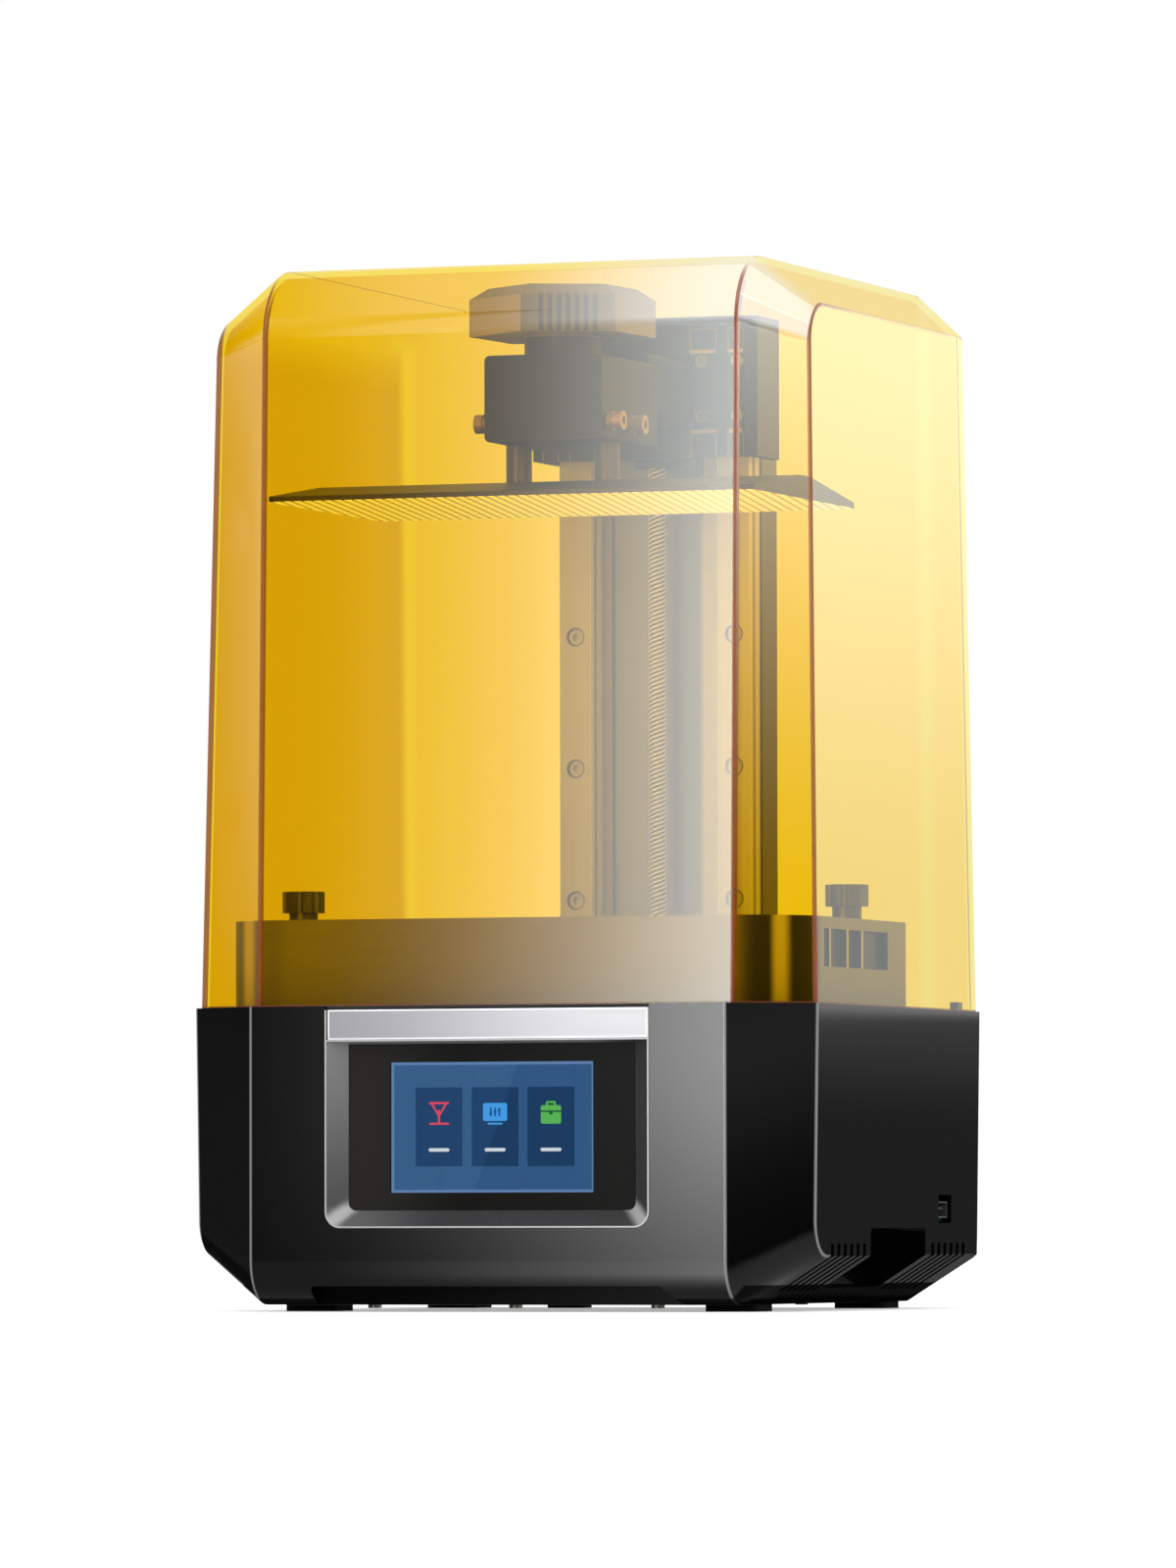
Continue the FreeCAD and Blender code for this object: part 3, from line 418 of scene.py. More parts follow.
def display_picture():
    """Lit picture: blue field split by a painted reflection, a diagonal sheen; dark tiles with
    plain signs and pale bars.
    """
    f = Finish("display_picture", Roughness=0.8, Specular_IOR_Level=0.0, Emission_Strength=0.94)
    low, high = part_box("display")
    middle = (low[2] + high[2]) / 2
    # Painted reflection: a diagonal sheen lightens the field and the tiles on one side.
    sheen = f.smooth(f.x - 0.36 * (f.z - middle), 1 * MM, 2 * MM)
    field = f.mix(sheen, shade(58, 97, 138), shade(50, 89, 132))
    edge = f.rounded(f.x, f.z, (0, middle), (47.2 * MM, 28.5 * MM), 0.5 * MM)
    field = f.mix(f.smooth(edge, -1.6 * MM, -1.0 * MM), field, shade(98, 132, 176))
    tile_x = (-25 * MM, 1.1 * MM, 27 * MM)
    tile_z = 80.5 * MM
    for x in tile_x:
        tile = f.plate((x, tile_z), (10.9 * MM, 17.2 * MM), 0.4 * MM)
        navy = f.mix(sheen, shade(32, 67, 108), shade(24, 59, 96))
        field = f.mix(tile, field, navy)
        caption = f.plate((x, 70.5 * MM), (4.8 * MM, 0.75 * MM), 0.7 * MM)
        field = f.mix(caption, field, shade(216, 222, 230))
    sign_z = 86.5 * MM
    red = shade(226, 74, 92)
    left = tile_x[0]
    bars = f.plate((left, sign_z + 4.4 * MM), (4.6 * MM, 0.5 * MM), 0.3 * MM)
    bars = bars.at_least(f.plate((left, sign_z - 4.6 * MM), (4.6 * MM, 0.45 * MM), 0.3 * MM))
    bars = bars.at_least(f.plate((left, sign_z - 1.6 * MM), (0.5 * MM, 3.0 * MM), 0.3 * MM))
    slope = abs(f.x - left) - 0.62 * (f.z - (sign_z - 1.2 * MM))
    cone = f.band(slope, 0, 0.5 * MM, 0.25 * MM)
    cone = cone * f.plate((left, sign_z + 1.6 * MM), (4.2 * MM, 2.8 * MM), 0.1 * MM)
    field = f.mix(bars.at_least(cone), field, red)
    centre = tile_x[1]
    panel = f.plate((centre, sign_z + 0.4 * MM), (5.6 * MM, 3.9 * MM), 0.9 * MM)
    stand = f.plate((centre, sign_z - 4.7 * MM), (3.4 * MM, 0.4 * MM), 0.3 * MM)
    field = f.mix(panel.at_least(stand), field, shade(70, 160, 236))
    for i in (-1, 0, 1):
        x = centre + 2 * i * MM
        bar = f.plate((x, sign_z + 0.4 * MM), (0.4 * MM, 1.9 * MM), 0.3 * MM)
        knob = f.plate((x, sign_z + (0.4 + 0.7 * i) * MM), (0.75 * MM, 0.4 * MM), 0.3 * MM)
        field = f.mix(bar.at_least(knob), field, shade(30, 84, 150))
    right = tile_x[2]
    case = f.plate((right, sign_z - 0.8 * MM), (4.7 * MM, 4.0 * MM), 0.9 * MM)
    handle = f.plate((right, sign_z + 3.8 * MM), (2.3 * MM, 1.2 * MM), 0.6 * MM)
    field = f.mix(case.at_least(handle), field, shade(92, 184, 84))
    seam = f.plate((right, sign_z + 0.6 * MM), (4.7 * MM, 0.35 * MM), 0.1 * MM)
    clasp = f.plate((right, sign_z + 0.1 * MM), (0.8 * MM, 0.9 * MM), 0.3 * MM)
    grip = f.plate((right, sign_z + 3.7 * MM), (1.4 * MM, 0.5 * MM), 0.2 * MM)
    field = f.mix(seam.at_least(clasp).at_least(grip), field, shade(30, 92, 46))
    f.paint("Emission Color", field)
    f.paint("Base Color", f.mix(f.noise(60), (0.004, 0.006, 0.012, 1), (0.006, 0.009, 0.016, 1)))
    return f


def circuit_board():
    """Green solder mask with straight pale traces and tinned pads."""
    f = Finish("circuit_board")
    cells = f.node(
        "ShaderNodeTexVoronoi", {"distance": "MANHATTAN"}, {"Vector": f.place, "Scale": 260.0}
    )
    trace = f.band(cells, 0.5, 0.05, 0.04)
    pad = 1 - f.smooth(cells, 0.1, 0.14)
    mask = f.mix(trace, shade(14, 74, 42), shade(30, 112, 66))
    f.paint("Base Color", f.mix(pad, mask, shade(196, 190, 170)))
    f.paint("Roughness", 0.4 - 0.1 * pad)
    return f.raise_by(trace, 0.00003)


def plain_plastic(name, low, high, rough):
    f = Finish(name)
    return f.grain(shade(*low), shade(*high), 1100, 0.000012, rough)


def machined(name, low, high, rough, stretch, metallic):
    """Metal with fine tool marks, drawn out along the axes whose stretch is small."""
    f = Finish(name, Metallic=metallic)
    return f.grain(shade(*low), shade(*high), 900, 0.00001, rough, stretch)


def usb_metal():
    """Plated shell; the whole opening is near-black, the black tongue's own colour and painted
    shade round it, with gold contacts on the tongue.
    """
    f = Finish("usb_metal")
    low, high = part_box("usb_socket")
    cloud = f.noise(500, 2.0)
    y_mid = (low[1] + high[1]) / 2
    z_mid = (low[2] + high[2]) / 2
    inside = f.band(f.y, y_mid, 6.62 * MM, 0.06 * MM) * f.band(f.z, z_mid, 3.02 * MM, 0.06 * MM)
    tongue = f.band(f.z, z_mid + 0.6 * MM, 0.3 * MM, 0.1 * MM) * inside
    contact = f.smooth((f.y - y_mid).wave(2.5 * MM), 0.4, 0.6) * tongue
    shell = f.mix(cloud, shade(150, 150, 152), shade(190, 190, 192))
    # The opening is near-black: the tongue's own black, and painted shade in the hollow round it.
    face = f.mix(inside, shell, shade(6, 6, 7))
    f.paint("Base Color", f.mix(contact, face, shade(214, 190, 140)))
    f.paint("Metallic", 0.8 * (1 - inside))
    f.paint("Roughness", 0.28 + 0.1 * cloud + 0.4 * inside)
    return f


# Materials of the vat, the column and the carriage


def vat_metal():
    """Dark anodised wall with faint level streaks, painted glints and painted dark reflections on
    its rounded front corners, painted shade in the hollows of its ends and painted highlights on
    the ribs between them."""
    f = Finish("vat_metal", Specular_IOR_Level=0.25)
    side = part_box("vat_body")[1][0]
    streak = f.noise(240, 3.0, (0.06, 0.06, 1))
    cloud = f.noise(14, 3.0)
    grey = f.mix(0.5 * streak + 0.5 * cloud, shade(116, 107, 97), shade(136, 127, 116))
    row = f.band(f.z, VAT_ROW_Z, 8.6 * MM, 0.2 * MM) * f.band(f.y, VAT_ROW_Y, 44 * MM, 0.2 * MM)
    end = f.smooth(abs(f.x), side - 3.4 * MM, side - 3.2 * MM)
    hollow = end * row * (1 - f.smooth(abs(f.x), side - 0.3 * MM, side - 0.1 * MM))
    ribs = [f.band(f.y, middle, half, 0.1 * MM) for middle, half in VAT_RIBS]
    rib = ribs[0].at_least(ribs[1]).at_least(ribs[2]) * end * row
    # Painted reflections on the rounded front corners: darker beside the glints, then the glints.
    round_end = f.smooth(f.y, -83 * MM, -87 * MM)
    grey = f.mix(f.smooth(f.x, 104 * MM, 117 * MM) * round_end, grey, shade(46, 42, 37))
    grey = f.mix(f.smooth(f.x, -124 * MM, -129 * MM) * round_end, grey, shade(104, 97, 88))
    glint = f.band(f.x, 125.4 * MM, 2.6 * MM, 3.6 * MM)
    glint = glint.at_least(f.band(f.x, -121 * MM, 3.2 * MM, 4 * MM))
    grey = f.mix(glint * round_end, grey, shade(206, 192, 168))
    # Painted shade in the hollows, and painted highlights on the ribs between them.
    grey = f.mix(hollow, grey, shade(22, 24, 27))
    f.paint("Base Color", f.mix(0.8 * rib * (1 - hollow), grey, shade(196, 184, 150)))
    f.paint("Roughness", 0.3 + 0.1 * streak + 0.05 * cloud)
    return f.raise_by(streak, 0.00002)


def plate_metal():
    """Plate, dark on its slopes; the underside is pale with a weave of raised diamonds and painted
    shade in the grooves between them, and glows weakly in place of light from below."""
    f = Finish("plate_metal", Emission_Strength=1.0)
    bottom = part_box("build_plate")[0][2]
    under = 1 - f.smooth(f.z, bottom + 0.05 * MM, bottom + 0.3 * MM)
    one_way = abs((f.x + 0.22 * f.y).wave(9.6 * MM))
    other_way = abs((f.x - 0.22 * f.y).wave(9.6 * MM))
    raised = 1 - f.smooth(one_way, 0.75, 0.2) * f.smooth(other_way, 0.2, 0.6)
    brushed = f.noise(800, 3.0, (0.04, 1, 1))
    # Painted shade in the grooves between the raised diamonds.
    pale = f.mix(raised, shade(150, 96, 56), shade(255, 252, 244))
    dark = f.mix(brushed, shade(58, 53, 46), shade(78, 72, 63))
    f.paint("Base Color", f.mix(under, dark, pale))
    glow = f.mix(raised, (0.14, 0.09, 0.05, 1), (0.56, 0.54, 0.5, 1))
    f.paint("Emission Color", f.mix(under, (0, 0, 0, 1), glow))
    f.paint("Metallic", 0.4 * (1 - under))
    f.paint("Roughness", 0.42 + 0.1 * brushed)
    return f.raise_by(brushed, 0.00002)


def carriage_metal():
    """Dark anodised plate with pale lines round the edges of its windows and a pale strip at each.
    """
    f = Finish("carriage_metal", Metallic=0.4)
    brushed = f.noise(900, 3.0, (1, 1, 0.05))
    across = abs(f.x)
    edge = 0 * brushed
    pale_strip = 0 * brushed
    for centre, half in CARRIAGE_WINDOWS_X:
        for low, high, strip_z in CARRIAGE_WINDOWS_Z:
            place = (centre, (low + high) / 2)
            gap = f.rounded(across, f.z, place, (half, (high - low) / 2), 0.05 * MM)
            edge = edge.at_least(f.band(gap, 0.1 * MM, 0.3 * MM, 0.2 * MM))
            bar = f.rounded(across, f.z, (centre, strip_z), (half, 0.9 * MM), 0.05 * MM)
            pale_strip = pale_strip.at_least(1 - f.smooth(bar, -0.1 * MM, 0.1 * MM))
    front = 1 - f.smooth(f.y, 71 * MM, 72 * MM)
    dark = f.mix(brushed, shade(28, 27, 26), shade(40, 39, 38))
    dark = f.mix(0.6 * edge * front, dark, shade(170, 156, 124))
    f.paint("Base Color", f.mix(0.8 * pale_strip * front, dark, shade(206, 184, 130)))
    f.paint("Roughness", 0.4 + 0.12 * brushed)
    return f.raise_by(brushed, 0.00001)


def column_metal():
    """Drawn aluminium with painted light and shade: a pale strip at the right of the channel, a
    darker one beside the screw, and darker again right of the right rail.
    """
    f = Finish("column_metal", Metallic=0.25)
    drawn = f.noise(900, 3.0, (1, 1, 0.02))
    grey = f.mix(drawn, shade(128, 123, 115), shade(146, 141, 133))
    # Painted light and shade across the channel: darker beside the screw, pale further right.
    grey = f.mix(f.band(f.x, 9 * MM, 7 * MM, 4 * MM), grey, shade(96, 98, 102))
    strip = f.smooth(f.x, 15 * MM, 18 * MM) * f.smooth(f.x, 40 * MM, 38 * MM)
    grey = f.mix(strip, grey, shade(178, 172, 164))
    # Painted shade right of the right rail.
    f.paint("Base Color", f.mix(f.smooth(f.x, 45 * MM, 46.5 * MM), grey, shade(94, 88, 76)))
    f.paint("Roughness", 0.38 + 0.12 * drawn)
    return f.raise_by(drawn, 0.00001)


def rail_steel():
    """Ground rail with drawn tool marks, painted bright towards the screw and on its inner side as
    painted light, and dark round each screw head as painted shade.
    """
    f = Finish("rail_steel", Metallic=0.15)
    drawn = f.noise(900, 3.0, (1, 1, 0.02))
    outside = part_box("guide_rails")[1][0]
    grey = f.mix(drawn, shade(168, 160, 146), shade(190, 182, 166))
    # Painted light: brighter towards the screw.
    grey = f.mix(f.smooth(f.x, 39 * MM, 43 * MM), grey, shade(214, 204, 184))
    # Painted shade round each screw head.
    ring_x = abs(f.x) - RAIL_X
    ring_z = f.z.calc("PINGPONG", f.z - RAIL_SCREW_LOW, RAIL_SCREW_STEP / 2)
    ring = f.band((ring_x * ring_x + ring_z * ring_z) ** 0.5, 3.9 * MM, 0.45 * MM, 0.4 * MM)
    grey = f.mix(0.85 * ring, grey, shade(70, 62, 50))
    # Painted light on the inner sides of the rails.
    inner_side = 1 - f.smooth(abs(f.x), outside - 14.95 * MM, outside - 14.8 * MM)
    f.paint("Base Color", f.mix(inner_side, grey, shade(252, 240, 214)))
    f.paint("Roughness", 0.3 + 0.15 * drawn)
    return f.raise_by(drawn, 0.00001)


def thread_steel():
    """Crests painted bright as painted highlights and grooves darkened as painted shade, told apart
    by their distance from the screw's axis.
    """
    f = Finish("thread_steel", Metallic=0.2)
    low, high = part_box("lead_screw")
    off_x = f.x - (low[0] + high[0]) / 2
    off_y = f.y - (low[1] + high[1]) / 2
    out = (off_x * off_x + off_y * off_y) ** 0.5
    radius = (high[0] - low[0]) / 2
    crest = f.smooth(out, radius - 0.6 * MM, radius - 0.15 * MM)
    cloud = f.noise(600, 2.0)
    bright = f.mix(cloud, shade(226, 214, 196), shade(244, 234, 216))
    # Painted highlights on the crests, painted shade in the grooves.
    f.paint("Base Color", f.mix(crest, shade(78, 72, 64), bright))
    f.paint("Roughness", 0.3 + 0.1 * cloud)
    return f


def knob_plastic():
    """Warm grey moulding with painted light and shade: paler at the left, darker on the three
    gripped sides and on the top, with painted shade in their grooves and at the neck.
    """
    f = Finish("knob_plastic")
    grain = f.noise(1000, 2.0)
    groove = 0 * grain
    grip = 0 * grain
    for turn in (KNOB_TURN, KNOB_TURN + 120, KNOB_TURN + 240):
        out_x, out_y = math.sin(math.radians(turn)), -math.cos(math.radians(turn))
        out = out_x * f.x + out_y * (f.y - PLATE_Y)
        across = out_x * (f.y - PLATE_Y) - out_y * f.x
        cut = f.band(out, 35.0 * MM, 0.75 * MM, 0.3 * MM)
        groove = groove.at_least(cut * (1 - f.smooth(abs(across), 13 * MM, 13.4 * MM)))
        grip = grip.at_least(f.smooth(out, 35.6 * MM, 35.8 * MM))
    groove = groove * (1 - f.smooth(f.z, KNOB_GRIP_TOP, KNOB_GRIP_TOP + 0.3 * MM))
    groove = groove * f.smooth(f.z, KNOB_GRIP_LOW, KNOB_GRIP_LOW + 0.2 * MM)
    # Painted light and shade: paler at the left, darker on the gripped sides and on the top.
    grey = f.mix(f.smooth(f.x, -10 * MM, 30 * MM), shade(174, 158, 128), shade(130, 119, 98))
    grey = f.mix(grip, grey, shade(98, 90, 74))
    top = f.smooth(f.z, KNOB_GRIP_TOP + 0.1 * MM, KNOB_GRIP_TOP + 0.3 * MM)
    grey = f.mix(top, grey, shade(108, 100, 84))
    grey = f.mix(0.25 * grain, grey, shade(150, 140, 120))
    # Painted shade at the neck.
    neck = f.smooth(f.z, KNOB_NECK_TOP + 0.7 * MM, KNOB_NECK_TOP)
    grey = f.mix(neck, grey, shade(66, 60, 48))
    # Painted shade in the grooves of the gripped sides.
    f.paint("Base Color", f.mix(groove, grey, shade(40, 37, 32)))
    f.paint("Roughness", 0.42 + 0.12 * grain)
    return f.raise_by(grain, 0.00002)


def clear_sheet(name, tint):
    """Clear flat sheet: lets light through with a tint and mirrors more at a slant."""
    f = Finish(name, Roughness=0.08, IOR=1.5)
    cloud = f.noise(40, 2.0)
    f.paint("Base Color", f.mix(cloud, shade(40, 42, 44), shade(52, 54, 56)))
    facing = f.node("ShaderNodeLayerWeight", sockets={"Blend": 0.5}, out="Facing")
    clear = f.node("ShaderNodeBsdfTransparent", sockets={"Color": tint})
    f.show(f.either(0.04 + 0.3 * facing ** 4 + 0.02 * cloud, clear, f.plain()))
    return f


# Amber cover


def amber_cover():
    """Clear amber sheet with red-brown creases, which mirrors on its outside. Its tint is painted
    deeper at the left as painted shade and paler at the right side as painted light, and a painted
    reflection makes the right of its rounded top hazy."""
    f = Finish("amber_cover", Roughness=0.22)
    facing = f.node("ShaderNodeLayerWeight", sockets={"Blend": 0.5}, out="Facing")
    meeting = f.node("ShaderNodeNewGeometry").socket.node.outputs
    normal = Value(f, meeting["Normal"])
    inner = Value(f, meeting["Backfacing"])
    level = f.node("ShaderNodeSeparateXYZ", sockets={0: normal}, out="Z")
    away = f.node(
        "ShaderNodeVectorMath", {"operation": "DOT_PRODUCT"}, {0: normal, 1: f.place}, out="Value"
    )
    outer = f.smooth(away - 0.3 * level, -4 * MM, 4 * MM)
    height = f.z - SEAM_Z
    left = 1 - f.smooth(f.x, -5 * MM, 5 * MM)
    end_front = COVER_END_FRONT + COVER_FRONT_LEAN * height
    end_back = COVER_END_BACK - COVER_BACK_LEAN * height
    over_side = abs(f.x) - COVER_SIDE + COVER_SIDE_LEAN * height

    # The mirror's strength is painted by place: weaker at the left end, and raised by a painted
    # reflection on the right of the rounded top.
    round_top = f.smooth(f.y, -85 * MM, -100 * MM) * f.smooth(level, 0.04, 0.16)
    grazing = 0.92 * facing ** 5 * (1 - round_top)
    grazing = grazing * f.smooth(f.x, -138 * MM, -100 * MM)
    painted_top_reflection = 0.5 * round_top * f.smooth(f.x, -20 * MM, 110 * MM)
    mirror = ((0.08 + grazing).at_most(0.3) + painted_top_reflection) * outer * (1 - 0.9 * inner)
    thin = f.node("ShaderNodeBsdfTransparent", sockets={"Color": (0.98, 0.862, 0.25, 1)})
    deep = f.node("ShaderNodeBsdfTransparent", sockets={"Color": (0.872, 0.705, 0.04, 1)})
    pale = f.node("ShaderNodeBsdfTransparent", sockets={"Color": (0.985, 0.92, 0.55, 1)})
    # Tint: deeper at a slant; painted deeper at the left and at the back left end as painted shade,
    # and paler towards the top, on the right side and in two streaks at the back as painted light.
    slant = f.smooth(facing, 0.4, 0.68) * (1 - 0.35 * f.smooth(abs(level), 0.4, 0.8))
    slant = slant * (1 - 0.25 * f.smooth(f.y, -20 * MM, 112 * MM))
    behind = f.smooth(f.y, 80 * MM, 100 * MM)
    back_left_shade = 0.75 * behind * f.smooth(f.x, -132.5 * MM, -135.5 * MM)
    back_highlight = behind * f.band(f.x, -131.5 * MM, 2.2 * MM, 3.2 * MM)
    back_highlight = back_highlight.at_least(behind * f.band(f.x, 115 * MM, 4 * MM, 6 * MM))
    depth = slant.at_least(back_left_shade) * f.smooth(f.x, 20 * MM, -120 * MM)
    depth = depth * (1 - 0.8 * f.smooth(f.z, 418 * MM, 446 * MM))
    right_side = f.smooth(facing, 0.5, 0.62) * f.smooth(f.x, 90 * MM, 125 * MM)
    clear = f.either(right_side.at_least(0.6 * back_highlight), f.either(depth, thin, deep), pale)
    gloss = f.node("ShaderNodeBsdfGlossy", sockets={"Color": (0.9, 0.95, 1, 1), "Roughness": 0.06})
    sheet = f.either(mirror, clear, gloss)

    front = 1 - f.smooth(f.y, -112 * MM, -98 * MM)
    main_line = f.band(abs(f.x), CREASE_X, 0.8 * MM, 0.4 * MM) * front
    top_line = f.band(abs(f.x), CREASE_X, 0.4 * MM, 0.3 * MM) * f.smooth(f.z, 458.2 * MM, 459 * MM)
    along = (end_front + COVER_END_ROUND - f.y).at_least(0)
    up = (f.z - COVER_END_TOP + COVER_END_ROUND).at_least(0)
    corner = (along * along + up * up) ** 0.5
    on_side = f.smooth(over_side + 1.4 * MM * left, -2.4 * MM, -2.0 * MM)
    half_width = 0.8 * MM + 0.8 * MM * left
    end_line = f.band(corner - 0.6 * MM * left, COVER_END_ROUND, half_width, 0.4 * MM) * on_side
    end_line = end_line * (0.35 + 0.65 * f.smooth(f.y, -20 * MM, -95 * MM))
    end_line = end_line * (1 - left * f.smooth(f.y, -100 * MM, -90 * MM))
    edge_line = f.band(f.y - end_back, -8.2 * MM, 1.2 * MM, 1.2 * MM)
    edge_line = edge_line * f.smooth(over_side, -0.6 * MM, -0.3 * MM)
    foot_line = 1 - f.smooth(height, 0.6 * MM, 1.0 * MM)
    line = main_line.at_least(end_line).at_least(0.4 * top_line).at_least(0.6 * foot_line)
    line = line.at_least(0.6 * edge_line * (1 - left))
    cloud = f.noise(60, 2.0)
    f.paint("Base Color", f.mix(cloud, shade(138, 66, 34), shade(158, 80, 42)))
    f.show(f.either(line * 0.88, sheet, f.plain()))
    return f


# Pieces


def screw_thread(finish):
    """Thread of the lead screw.

    A point at angle a and height h lies at the radius R - depth * p, where p is a trapezium wave of
    the thread's phase, h / pitch - starts * a / turn, so that crests climb to the right. The radius
    shrinks to nothing at both ends, which closes them.
    """
    low, high = (np.array(corner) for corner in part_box("lead_screw"))
    centre = (low + high) / 2
    radius = (high[0] - low[0]) / 2
    angle = np.linspace(0, 2 * math.pi, POINTS_A_TURN, endpoint=False)
    height = np.arange(low[2], high[2], THREAD_PITCH / ROWS_A_PITCH)
    height = np.concatenate([[low[2]], height, [high[2], high[2]]])
    a, h = np.meshgrid(angle, height)
    phase = np.mod(h / THREAD_PITCH - THREAD_STARTS * a / (2 * math.pi), 1)
    groove = np.clip((np.abs(2 * phase - 1) - THREAD_CREST) / THREAD_FLANK, 0, 1)
    r = radius - THREAD_DEPTH * groove
    r = np.minimum(r, radius - THREAD_DEPTH + (high[2] - h))
    r[0] = 0
    r[-1] = 0
    points = np.stack([centre[0] + r * np.cos(a), centre[1] + r * np.sin(a), h], axis=-1)
    piece = new_piece("screw_thread", "lead_screw", finish, points)
    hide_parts("lead_screw")


# Stage


def world_light():
    """White for the eye; mirrors see a dark room, bright at the back, above and far right."""
    world = bpy.data.worlds.new("studio")
    bpy.context.scene.world = world
    world.use_nodes = True
    w = Tree(world.node_tree)
    toward = w.node("ShaderNodeTexCoord", out="Generated")
    parts = w.node("ShaderNodeSeparateXYZ", sockets={0: toward}).socket.node.outputs
    dx, dy, dz = (Value(w, socket) for socket in parts)
    path = w.node("ShaderNodeLightPath").socket.node.outputs
    seen = Value(w, path["Is Camera Ray"]).at_least(Value(w, path["Is Transmission Ray"]))
    mirrored = Value(w, path["Is Glossy Ray"])
    back = w.smooth(dy, 0.1, 0.6) * w.smooth(dz, -0.22, -0.1)
    ceiling = 0.5 * w.smooth(dz, 0.16, 0.75)
    ground = 0.05 * w.smooth(-1 * dz, 0.05, 0.6) * w.smooth(dy, 0.1, -0.1)
    left = 0.07 * w.smooth(-1 * dx, 0.9, 0.99)
    right = 0.7 * w.smooth(dx, 0.9, 0.97)
    room = 0.015 + 0.985 * back.at_least(ceiling).at_least(ground).at_least(left.at_least(right))
    level = seen + (1 - seen) * (mirrored * room + (1 - mirrored) * AMBIENT)
    backdrop = world.node_tree.nodes["Background"]
    world.node_tree.links.new(level.socket, backdrop.inputs["Strength"])
    backdrop.inputs["Color"].default_value = (1, 1, 1, 1)


def level_corners(across, along, height):
    """Corners of a level rectangle from its ends along X and along Y."""
    (left, right), (near, far) = across, along
    return [(left, near, height), (right, near, height), (right, far, height), (left, far, height)]


def flat_sheet(name, corners, finish):
    """Four-cornered sheet with one finish."""
    mesh = bpy.data.meshes.new(name)
    mesh.from_pydata(corners, [], [(0, 1, 2, 3)])
    mesh.materials.append(finish.material)
    sheet = bpy.data.objects.new(name, mesh)
    bpy.context.scene.collection.objects.link(sheet)
    return sheet


def softbox(name, first, second, low, high, light):
    """Upright sheet of light from one floor point to another."""
    light_sheet(name, [(*first, low), (*second, low), (*second, high), (*first, high)], light)


def light_sheet(name, corners, light):
    """Flat sheet of light that only mirrors see; light(finish) gives its brightness."""
    finish = Finish(name)
    glow = finish.node("ShaderNodeEmission", sockets={"Color": light(finish)})
    finish.show(glow)
    panel = flat_sheet(name, corners, finish)
    panel.visible_camera = False
    panel.visible_diffuse = False
    panel.visible_shadow = False
    panel.visible_transmission = False


def place_on_front(f, reach):
    """X of the place on the front that mirrors a point of light to the camera.

    reach is the way from the front to the point of light, against the way level to the key sheet.
    """
    return (f.x + KEY_SHIFT * reach) / (1 + KEY_SPREAD * reach)


def rise(f, reach, power):
    """Strength, 0 to 1, of the key light as the front sees it, growing to the right."""
    front_x = place_on_front(f, reach)
    share = (((1 + KEY_SPREAD) * front_x + KEY_START) / KEY_WIDTH).at_least(0).at_most(1.02)
    return share ** power


def over_top(f, reach):
    """Even light for the rounded top of the cover, fading out towards its left end."""
    return 1.3 * f.smooth(place_on_front(f, reach), -0.12, -0.02)


def key_light(f):
    """Upright sheet before the front, a little stronger for the base than for the cover."""
    over = (f.z - COVER_ROUND_Z).at_least(0) / KEY_AWAY
    reach = (1 + over * over) ** 0.5
    low = 1 - f.smooth(f.z, 0.17, 0.25)
    foot = 0.35 + 0.65 * f.smooth(f.z, 0.0, 0.14)
    flat = 6.3 * rise(f, reach, 2.1) * (1 + 0.35 * low) * foot + 0.14 * low
    high = f.smooth(f.z, 0.62, 0.9)
    return flat * (1 - high) + over_top(f, reach) * high


def top_glow(f):
    """Carries the key light on overhead, for the rounded top of the cover."""
    over = (CEILING_Z - COVER_ROUND_Z) / KEY_AWAY
    ahead = (f.y - COVER_FRONT_Y) / KEY_AWAY
    reach = (over * over + ahead * ahead) ** 0.5
    return over_top(f, reach)


def floor_glow(f):
    """Carries the key light on along the floor, for the rounded foot of the front."""
    reach = (BASE_FRONT_Y - f.y).at_least(0) / KEY_AWAY
    return 0.24 + 3.3 * rise(f, reach, 1.6) * f.smooth(f.y, -0.128, -0.16)


def side_glow(f):
    """Faint light on the floor beside the right side, for its slope and the foot of its bevel."""
    near = f.smooth(f.x, 0.28, 0.16)
    return near * (0.12 + 0.35 * f.smooth(f.y, -0.05, -0.11) * f.smooth(f.y, -0.17, -0.13))


def fill_light(f):
    """Grows upward, so that the cover's front right bevel pales towards its top, and is weak again
    for the rounded top; a faint low part lights the base's bevel."""
    up = ((f.z - 0.25) / 0.32).at_least(0).at_most(1.22)
    low = 0.5 * f.smooth(f.z, 0.045, 0.15) * (1 - f.smooth(f.z, 0.15, 0.165))
    return 4.7 * up * up * (1 - 0.83 * f.smooth(f.z, 0.6, 0.72)) + low


def left_light(f):
    """Glow that pales the front left bevel of the cover beside its crease; its edge leans."""
    edge_y = -0.338 + 0.478 * (f.z - 0.418)
    across = (edge_y - f.y) / 0.03
    share = ((across - 0.3) / 0.7).at_least(0).at_most(1.1)
    return share ** 1.5


def rim_light(f):
    """Grows upward behind the right side."""
    return 0.9 + 1.3 * f.smooth(f.z, 0.2, 0.6)


def low_light(f):
    """Dim sheet that keeps the right side of the base dark."""
    return 0.06 + 0.13 * f.smooth(f.z, 0.08, 0.135)


